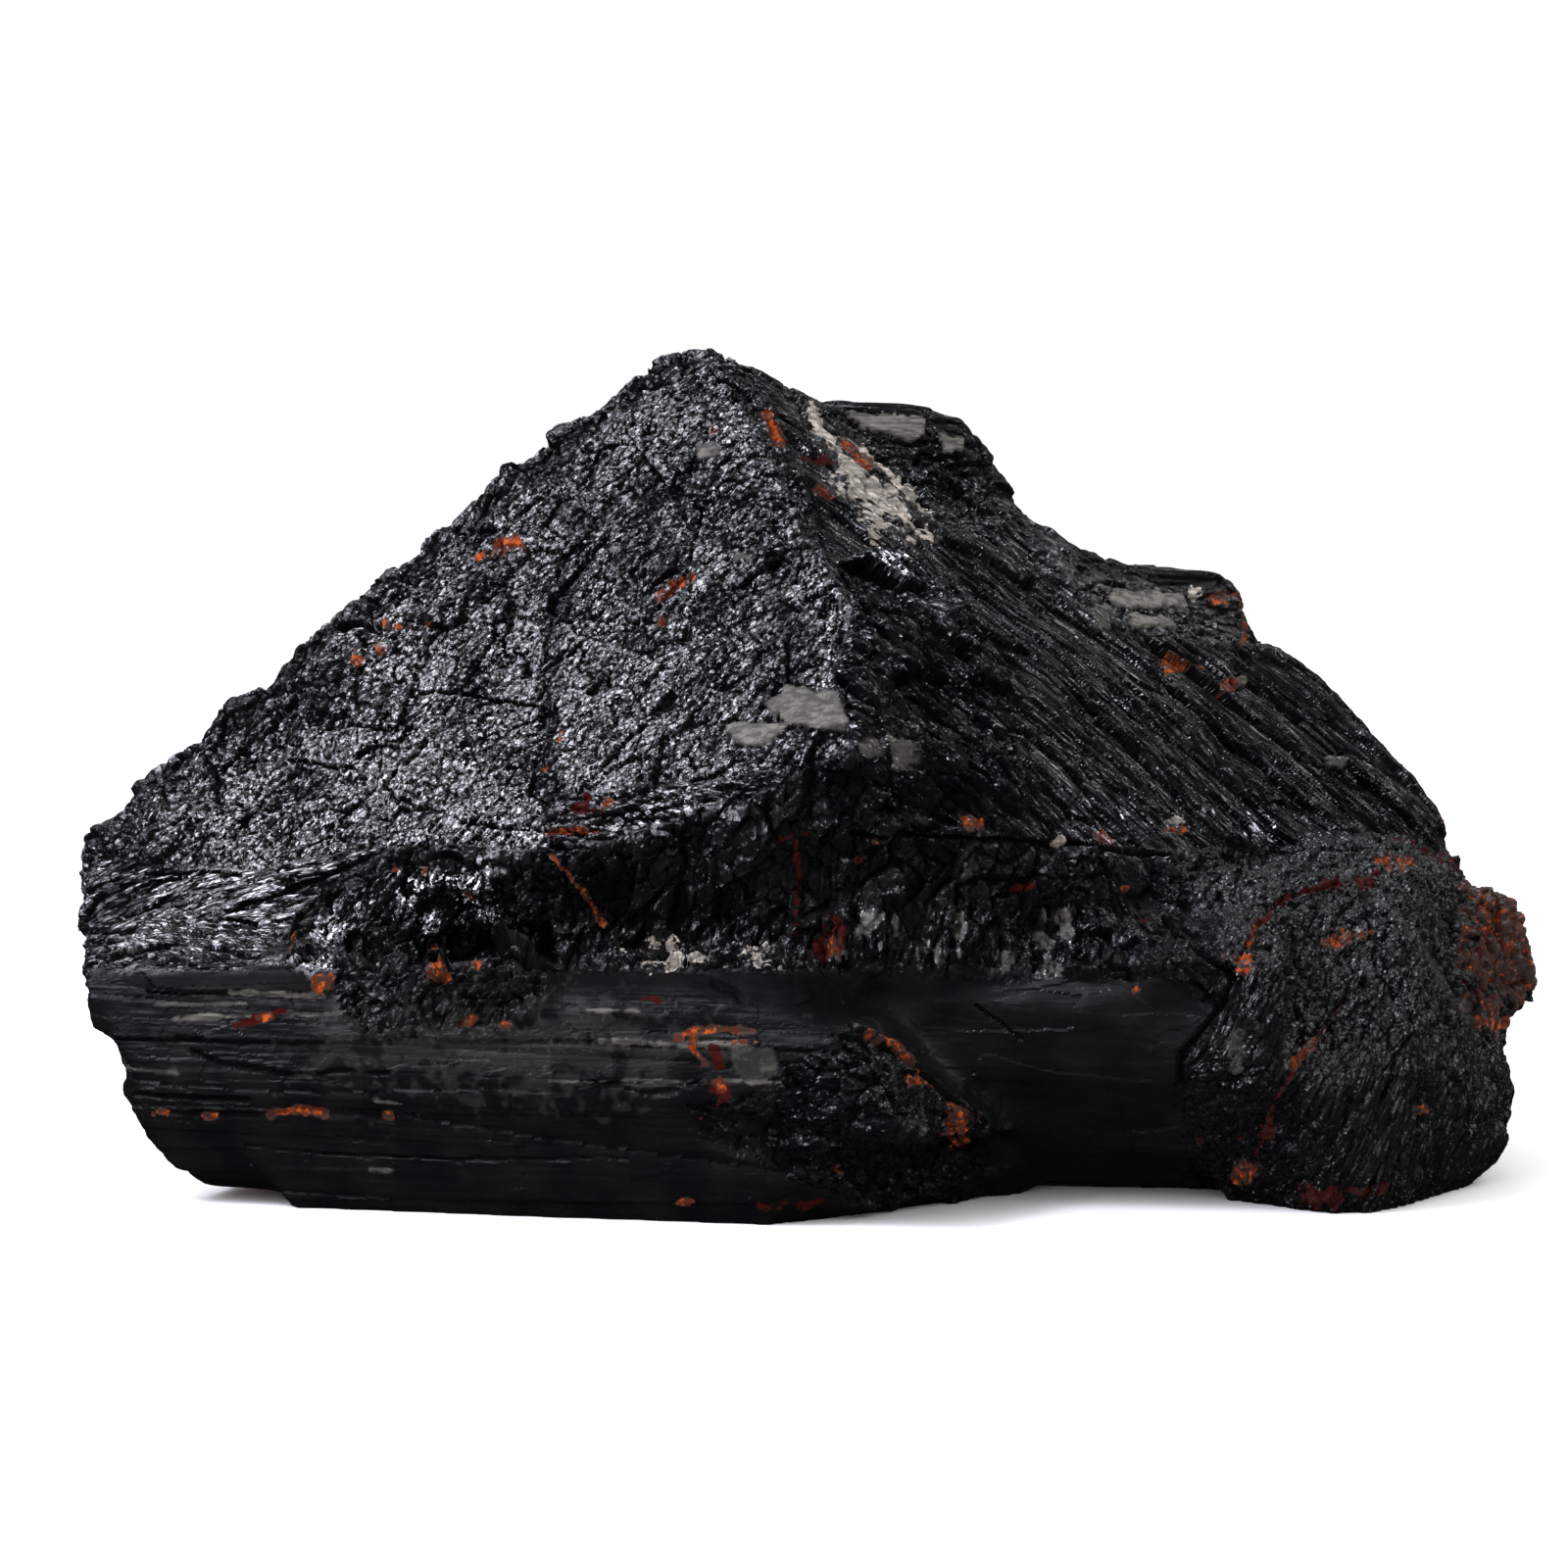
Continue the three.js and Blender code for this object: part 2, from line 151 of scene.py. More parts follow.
def lattice_key(cell: Array, seed: int) -> Array:
    """One scrambled number for each cell of a cubic lattice.

    Args:
        cell: Whole cell numbers, one row of three a point.
        seed: Sets the pattern.

    Returns:
        Unsigned 32-bit numbers, one a point.
    """
    whole = cell.astype(np.int64).astype(np.uint32)
    key = whole[:, 0] * np.uint32(73856093)
    key = key ^ (whole[:, 1] * np.uint32(19349663))
    key = key ^ (whole[:, 2] * np.uint32(83492791))
    return mixed(key + np.uint32((seed * 2654435761) % (1 << 32)))


def chance(key: Array, draw: int) -> Array:
    """The draw-th random number of each key, from 0 to 1."""
    turned = key + np.uint32((draw * 0x9E3779B9) % (1 << 32))
    return mixed(turned).astype(np.float32) / np.float32(4294967296.0)


def eased(value: Array, low: float, high: float) -> Array:
    """Runs smoothly from 0 at low to 1 at high, as 3t^2 - 2t^3."""
    share = np.clip((value - low) / (high - low), 0.0, 1.0)
    return share * share * (3.0 - 2.0 * share)


def unit(vectors: Array) -> Array:
    """Each row made one long."""
    return vectors / (np.linalg.norm(vectors, axis=1, keepdims=True) + TINY)


def gathered(where: Array, values: Array, count: int) -> Array:
    """The sum of the rows of values that share a number, for each number under count."""
    sums = [np.bincount(where, column, minlength=count) for column in values.T]
    return np.stack(sums, axis=1)


def cloud(points: Array, size: float, seed: int, octaves: int = 3) -> Array:
    """Soft uneven noise: random numbers at lattice corners, blended between, summed finer.

    Args:
        points: Places in millimetres.
        size: Width of the broadest swell.
        seed: Sets the pattern.
        octaves: How many times it is repeated at half the width and half the height.

    Returns:
        About -1 to 1 at each point.
    """
    total = np.zeros(len(points), np.float32)
    for octave in range(octaves):
        place = points * (2.0**octave / size)
        low = np.floor(place)
        part = place - low
        part = part * part * (3.0 - 2.0 * part)
        swell = np.zeros(len(points), np.float32)
        for corner in np.ndindex(2, 2, 2):
            step = np.array(corner)
            share = np.prod(np.where(step, part, 1.0 - part), axis=1)
            swell += share * chance(lattice_key(low + step, seed + octave), 1)
        total += (2.0 * swell - 1.0) * 0.5**octave
    return total


@dataclass
class Cells:
    """For each point the nearest of the seeds scattered one to a lattice cell.

    Attributes:
        key: The seed's own random key.
        offset: From the seed to the point, in cell widths.
        gap: How much further off the next seed is, 0 on a border between cells.
    """

    key: Array
    offset: Array
    gap: Array


def cells_at(place: Array, seed: int) -> Cells:
    """Finds each point's seed among the 27 lattice cells round it.

    Args:
        place: Points in cell widths.
        seed: Sets the pattern.

    Returns:
        The cells that the points fall in.
    """
    low = np.floor(place)
    best = np.full(len(place), 9.0, np.float32)
    second = best.copy()
    key = np.zeros(len(place), np.uint32)
    offset = np.zeros((len(place), 3), np.float32)
    for corner in np.ndindex(3, 3, 3):
        cell = low + (np.array(corner) - 1)
        here = lattice_key(cell, seed)
        spot = cell + np.stack([chance(here, draw) for draw in (1, 2, 3)], axis=1)
        away = (place - spot).astype(np.float32)
        far = np.einsum("ij,ij->i", away, away)
        nearer = far < best
        second = np.where(nearer, best, np.minimum(second, far))
        best = np.where(nearer, far, best)
        key = np.where(nearer, here, key)
        offset = np.where(nearer[:, None], away, offset)
    return Cells(key, offset, np.sqrt(second) - np.sqrt(best))


# ---- the viewpoint -------------------------------------------------------------------------------


@dataclass(frozen=True)
class Viewpoint:
    """Where the camera stands and looks, in millimetres.

    Attributes:
        place: Where it stands.
        target: What it looks at.
        lens: Focal length.
        sensor: Width of the sensor.
        picture: Width and height of the picture in pixels.
    """

    place: Triple = (-2.46, -679.698, 109.2)
    target: Triple = (-2.46, -4.298, 50.1)
    lens: float = 120.0
    sensor: float = 36.0
    picture: int = 1600

    def axes(self) -> Array:
        """The camera's right, up and forward directions, one a row.

        Returns:
            Three rows, each one long.
        """
        forward = np.array(self.target) - np.array(self.place)
        forward /= np.linalg.norm(forward)
        right = np.cross(forward, (0.0, 0.0, 1.0))
        right /= np.linalg.norm(right)
        return np.stack([right, np.cross(right, forward), forward])

    def pixels(self, points: Array) -> Array:
        """Where points fall in the picture: sideways and upward share of the depth.

        Args:
            points: Places in millimetres.

        Returns:
            Column, row and depth of each.
        """
        right, up, depth = ((points - np.array(self.place)) @ self.axes().T).T
        focal = self.picture * self.lens / self.sensor
        half = self.picture / 2
        return np.stack([half + focal * right / depth, half - focal * up / depth, depth], axis=1)

    def build(self) -> bpy.types.Object:
        """Makes the camera, and makes it the scene's own.

        Returns:
            The camera's object.
        """
        data = bpy.data.cameras.new("viewpoint")
        data.lens, data.sensor_width = self.lens, self.sensor
        data.clip_start, data.clip_end = 0.01, 50.0
        camera = placed("viewpoint", data)
        right, up, forward = self.axes()
        turn = np.eye(4)
        turn[:3, 0], turn[:3, 1], turn[:3, 2] = right, up, -forward
        turn[:3, 3] = np.array(self.place) * MM
        camera.matrix_world = Matrix(turn.tolist())
        bpy.context.scene.camera = camera
        return camera


# ---- the skin ------------------------------------------------------------------------------------


@dataclass
class Skin:
    """A surface of four-sided faces, in millimetres, with a normal at each point."""

    points: Array
    quads: Array
    normals: Array

    def sides(self) -> Array:
        """Each face's four sides, as pairs of points in the order that the face runs."""
        return np.stack([self.quads, np.roll(self.quads, -1, axis=1)], axis=2).reshape(-1, 2)

    def edges(self) -> tuple[Array, Array]:
        """The edges as pairs of points, each once, and each face side's edge.

        Returns:
            Two point numbers an edge, and for each face the numbers of its four edges.
        """
        pairs = np.sort(self.sides(), axis=1)
        keys = pairs[:, 0].astype(np.int64) * len(self.points) + pairs[:, 1]
        _, first, which = np.unique(keys, return_index=True, return_inverse=True)
        return pairs[first], which.reshape(self.quads.shape)

    def finer(self) -> "Skin":
        """Cuts each face in four, at the middles of its sides and its own middle.

        Returns:
            The finer skin, whose first points are the old ones.
        """
        edges, which = self.edges()

        def spread(values: Array) -> Array:
            """Adds the mean value of each edge and each face."""
            middles = values[edges].mean(axis=1)
            return np.concatenate([values, middles, values[self.quads].mean(axis=1)])

        side = which + len(self.points)
        centre = len(self.points) + len(edges) + np.arange(len(self.quads))
        made = [
            np.stack([self.quads[:, i], side[:, i], centre, side[:, i - 1]], axis=1)
            for i in range(4)
        ]
        return Skin(spread(self.points), np.concatenate(made), unit(spread(self.normals)))

    def blurred(self, values: Array, times: int, share: float = 0.5) -> Array:
        """Draws each point's value towards the mean of its neighbours' values, repeatedly.

        Args:
            values: One row a point.
            times: How many times.
            share: How much of the way to the mean each time goes.

        Returns:
            The new values, one row a point.
        """
        edges, _ = self.edges()
        ends, others = edges.T.ravel(), edges[:, ::-1].T.ravel()
        degree = np.bincount(ends, minlength=len(values)).astype(float)[:, None]
        for _ in range(times):
            sums = gathered(ends, values[others], len(values))
            values = values + share * (sums / np.maximum(degree, 1.0) - values)
        return values

    def found_normals(self) -> Array:
        """Each point's normal: the sum of its faces' areas as vectors, made one long.

        Returns:
            One direction a point.
        """
        corners = self.points[self.quads]
        area = np.cross(corners[:, 2] - corners[:, 0], corners[:, 3] - corners[:, 1])
        each = np.repeat(area, 4, axis=0)
        return unit(gathered(self.quads.ravel(), each, len(self.points)))

    def neighbours(self) -> tuple[Array, Array]:
        """The faces on the two sides of each edge.

        Returns:
            Two lists of face numbers, with one entry for each edge that two faces share.
        """
        flat = self.edges()[1].ravel()
        order = np.argsort(flat, kind="stable")
        count = np.bincount(flat)
        starts = (np.cumsum(count) - count)[count == 2]
        return order[starts] // 4, order[starts + 1] // 4

    def part(self, chosen: Array) -> "Skin":
        """The faces chosen, with their points alone.

        Args:
            chosen: True for each face wanted.

        Returns:
            A skin of those faces.
        """
        quads = self.quads[chosen]
        kept, renumbered = np.unique(quads, return_inverse=True)
        return Skin(self.points[kept], renumbered.reshape(quads.shape), self.normals[kept])


@dataclass(frozen=True)
class SkinMaker:
    """Makes the stone's even skin from the frame's solid.

    Attributes:
        mesh_size: Width of the first faces in millimetres.
        softening: How often the solid's hard edges are drawn in.
        smoothing: How often the finer faces are drawn in again.
        slowing: How often the normals are blurred, so that they turn slowly.
        resting: Height under which a point belongs to the flat foot.
        merging: Distance at which the solid's corners are one, in metres.
    """

    mesh_size: float = 1.37
    softening: int = 3
    smoothing: int = 2
    slowing: int = 6
    resting: float = 0.25
    merging: float = 1e-6

    def net(self, node: bpy.types.Object) -> Skin:
        """Copies the solid, merges it and lays an even net of faces on it.

        Args:
            node: The frame's solid, which is left as it is.

        Returns:
            The net, without normals.
        """
        copy = node.data.copy()
        shell = bmesh.new()
        shell.from_mesh(copy)
        bmesh.ops.remove_doubles(shell, verts=shell.verts, dist=self.merging)
        shell.to_mesh(copy)
        shell.free()
        holder = placed("net", copy)
        net = holder.modifiers.new("net", "REMESH")
        net.mode, net.voxel_size, net.adaptivity = "VOXEL", self.mesh_size * MM, 0.0
        graph = bpy.context.evaluated_depsgraph_get()
        made = bpy.data.meshes.new_from_object(holder.evaluated_get(graph))
        points = np.zeros(len(made.vertices) * 3, np.float64)
        made.vertices.foreach_get("co", points)
        quads = np.zeros(len(made.loops), np.int64)
        made.loops.foreach_get("vertex_index", quads)
        bpy.data.objects.remove(holder)
        bpy.data.meshes.remove(made)
        bpy.data.meshes.remove(copy)
        return Skin(points.reshape(-1, 3) / MM, quads.reshape(-1, 4), np.zeros((1, 3)))

    def build(self, node: bpy.types.Object) -> Skin:
        """Softens the net, cuts it finer and gives it slow normals.

        Args:
            node: The frame's solid.

        Returns:
            The skin.
        """
        skin = self.net(node)
        foot = skin.points[:, 2] < self.resting
        skin.points = skin.blurred(skin.points, self.softening)
        skin.points[foot, 2] = 0.0
        skin.normals = skin.found_normals()
        skin = skin.finer()
        skin.points = skin.blurred(skin.points, self.smoothing)
        skin.points[:, 2] = np.where(skin.points[:, 2] < self.resting, 0.0, skin.points[:, 2])
        skin.normals = unit(skin.blurred(skin.found_normals(), self.slowing))
        return skin


# ---- what the camera's side shows ----------------------------------------------------------------


def distance_to_line(points: Array, line: Line) -> Array:
    """Distance in pixels from each point to the nearest stretch of a line.

    Args:
        points: Columns and rows.
        line: The line's corners in order.

    Returns:
        One distance a point.
    """
    corners = np.array(line, float)
    nearest = np.full(len(points), FAR)
    for start, end in zip(corners[:-1], corners[1:], strict=True):
        side = end - start
        away = points - start
        share = np.clip(away @ side / max(side @ side, TINY), 0.0, 1.0)
        nearest = np.minimum(nearest, np.hypot(*(away - share[:, None] * side).T))
    return nearest


def inside_by(points: Array, outline: Line) -> Array:
    """Distance to an outline in pixels, positive inside it: nearest side, crossings counted.

    Args:
        points: Columns and rows.
        outline: Corners in order.

    Returns:
        The signed distance of each point.
    """
    nearest = distance_to_line(points, (*outline, outline[0]))
    corners = np.array(outline, float)
    inside = np.zeros(len(points), bool)
    for start, end in zip(corners, np.roll(corners, -1, axis=0), strict=True):
        side = end - start
        rises = (start[1] > points[:, 1]) != (end[1] > points[:, 1])
        drop = side[1] if abs(side[1]) > TINY else TINY
        inside ^= rises & (points[:, 0] < start[0] + side[0] * (points[:, 1] - start[1]) / drop)
    return np.where(inside, nearest, -nearest)


def window_round(line: Line, margin: float) -> Window:
    """The lowest and highest column and row of a line, moved out by a margin."""
    corners = np.array(line)
    return corners.min(axis=0) - margin, corners.max(axis=0) + margin


def within(pixels: Array, window: Window) -> Array:
    """Which pixel places lie between a window's lowest and highest column and row."""
    low, high = window
    return ((pixels[:, :2] > low) & (pixels[:, :2] < high)).all(axis=1)


@dataclass
class Sight:
    """Which points the camera sees, from the nearest depth in each small square.

    Attributes:
        view: The camera.
        square: Width of a square in pixels.
        slack: How far behind the nearest a point may be, in millimetres.
        fading: Over how many more millimetres it fades out.
        turned: How far a normal may turn from the camera: nothing shows, all shows.
        hollow: How far behind the nearest a hollow's floor may be, in millimetres.
        nearest: The nearest depth in each square.
    """

    view: Viewpoint
    square: float = 7.0
    slack: float = 3.0
    fading: float = 1.5
    turned: tuple[float, float] = (-0.12, 0.02)
    hollow: tuple[float, float] = (-16.0, -11.0)
    nearest: Array = field(default_factory=lambda: np.zeros(0))

    def squares(self, pixels: Array) -> Array:
        """The number of the square that each pixel place falls in."""
        column, row = np.clip(pixels[:, :2] / self.square, 0, self.across() - 1).astype(np.int64).T
        return row * self.across() + column

    def across(self) -> int:
        """How many squares lie side by side."""
        return int(self.view.picture / self.square) + 1

    def learn(self, skin: Skin) -> None:
        """Fills in the nearest depths from the skin's points.

        Args:
            skin: The skin that hides what lies behind it.
        """
        pixels = self.view.pixels(skin.points)
        self.nearest = np.full(self.across() ** 2, FAR)
        np.minimum.at(self.nearest, self.squares(pixels), pixels[:, 2])

    def seen(self, points: Array, normals: Array) -> tuple[Array, Array]:
        """Where points fall in the picture, and how far each is seen, from 0 to 1.

        Args:
            points: Places in millimetres.
            normals: Their outward directions, each one long.

        Returns:
            Column, row and depth of each point, and the share of it that is seen.
        """
        pixels = self.view.pixels(points)
        behind = pixels[:, 2] - self.nearest[self.squares(pixels)]
        towards = np.array(self.view.place) - points
        towards /= np.linalg.norm(towards, axis=1, keepdims=True)
        facing = np.einsum("ij,ij->i", normals, towards)
        shown = eased(-behind, -self.slack - self.fading, -self.slack)
        return pixels, shown * eased(facing, *self.turned)

    def close(self, points: Array, normals: Array) -> Array:
        """How far points lie just behind what is seen: ledges, hollows and rolled rims.

        Args:
            points: Places in millimetres.
            normals: Their outward directions, each one long.

        Returns:
            0 to 1 at each point.
        """
        pixels = self.view.pixels(points)
        behind = pixels[:, 2] - self.nearest[self.squares(pixels)]
        near = np.maximum(eased(-behind, *self.hollow), eased(-points[:, 1], 0.0, 6.0))
        return near * eased(-normals[:, 1], -0.75, -0.35)


# ---- relief --------------------------------------------------------------------------------------


class Shape(Enum):
    """What one cell of a layer looks like."""

    PLATE = "flat, tilted its own way"
    DOME = "rounded up"
    SCOOP = "hollowed like a shell"


@dataclass(frozen=True)
class Layer:
    """One layer of facets.

    Attributes:
        size: Width of a cell along the grain, across it and into the stone, in millimetres.
        step: How far a cell may stand up or down.
        slope: How steeply a cell may tilt, as a tangent.
        seam: Depth of the crack round each cell, which is half a millimetre wide.
        shape: The form of a cell.
        share: The share of cells that have it.
    """

    size: Triple
    step: float
    slope: float
    seam: float = 0.0
    shape: Shape = Shape.PLATE
    share: float = 1.0

    def height(self, local: Array, seed: int) -> Array:
        """Height of the layer: the cell's step plus its tilt times the way from its seed.

        Args:
            local: Points along the grain, across it and outwards, in millimetres.
            seed: Sets the pattern.

        Returns:
            Heights in millimetres.
        """
        cells = cells_at(local / np.array(self.size), seed)
        narrow = float(min(self.size))
        step = self.step * (2.0 * chance(cells.key, 4) - 1.0)
        if self.shape is Shape.PLATE:
            lean = np.stack([chance(cells.key, 5), chance(cells.key, 6)], axis=1) * 2 - 1
            way = cells.offset[:, :2] * narrow
            height = step + self.slope * np.einsum("ij,ij->i", lean, way)
        else:
            bowl = np.einsum("ij,ij->i", cells.offset, cells.offset)
            bulge = self.slope * narrow * (0.5 - bowl)
            height = step + (bulge if self.shape is Shape.DOME else -bulge)
        height -= self.seam * (1.0 - eased(cells.gap, 0.0, 0.5 / narrow))
        return np.where(chance(cells.key, 7) < self.share, height, 0.0)


@dataclass(frozen=True)
class Swell:
    """Soft rises and falls under the facets: width and height in millimetres."""

    size: float
    height: float


@dataclass(frozen=True)
class Zone:
    """A stretch of the skin with one kind of break or growth.

    Attributes:
        name: Its name.
        outline: Its outline on the camera's side, in pixels, or none.
        along: The direction of its fibres or striations.
        out: Roughly outwards.
        swell: Its soft rise and fall.
        layers: Its facets, broadest first.
        grain: Width of the finest grains along, across and into the stone.
        hackle: How strongly the finest grains tilt.
        lean: Share of the finest grains that lie parallel to the left face.
        gloss: 0 for dull, 1 for glassy.
        shine: How much it reflects, 1 for clean stone.
    """

    name: str
    outline: Line
    along: Triple
    out: Triple
    swell: Swell
    layers: tuple[Layer, ...]
    grain: Triple = (0.8, 0.8, 0.8)
    hackle: float = 0.5
    lean: float = 0.0
    gloss: float = 0.6
    shine: float = 1.0

    def local(self, points: Array) -> Array:
        """Points along the fibres, across them and outwards.

        Args:
            points: Places in millimetres.

        Returns:
            The same places in the zone's own directions, one row a point.
        """
        along = np.array(self.along) / np.linalg.norm(self.along)
        across = np.cross(self.out, along)
        across /= np.linalg.norm(across)
        return points @ np.stack([along, across, np.cross(along, across)]).T

    def height(self, points: Array, seed: int) -> Array:
        """The sum of the zone's swell and its layers, whose cells are bent along the fibres.

        Args:
            points: Places in millimetres.
            seed: Where the zone's random numbers start.

        Returns:
            The height at each point, in millimetres.
        """
        bent = self.local(points)
        bent[:, 0] += 0.6 * cloud(points, 5.0, seed + Seed.WARP, 2)
        total = self.swell.height * cloud(points, self.swell.size, seed + Seed.SWELL)
        for number, layer in enumerate(self.layers):
            total = total + layer.height(bent, seed + LAYER_SEEDS * number)
        return total


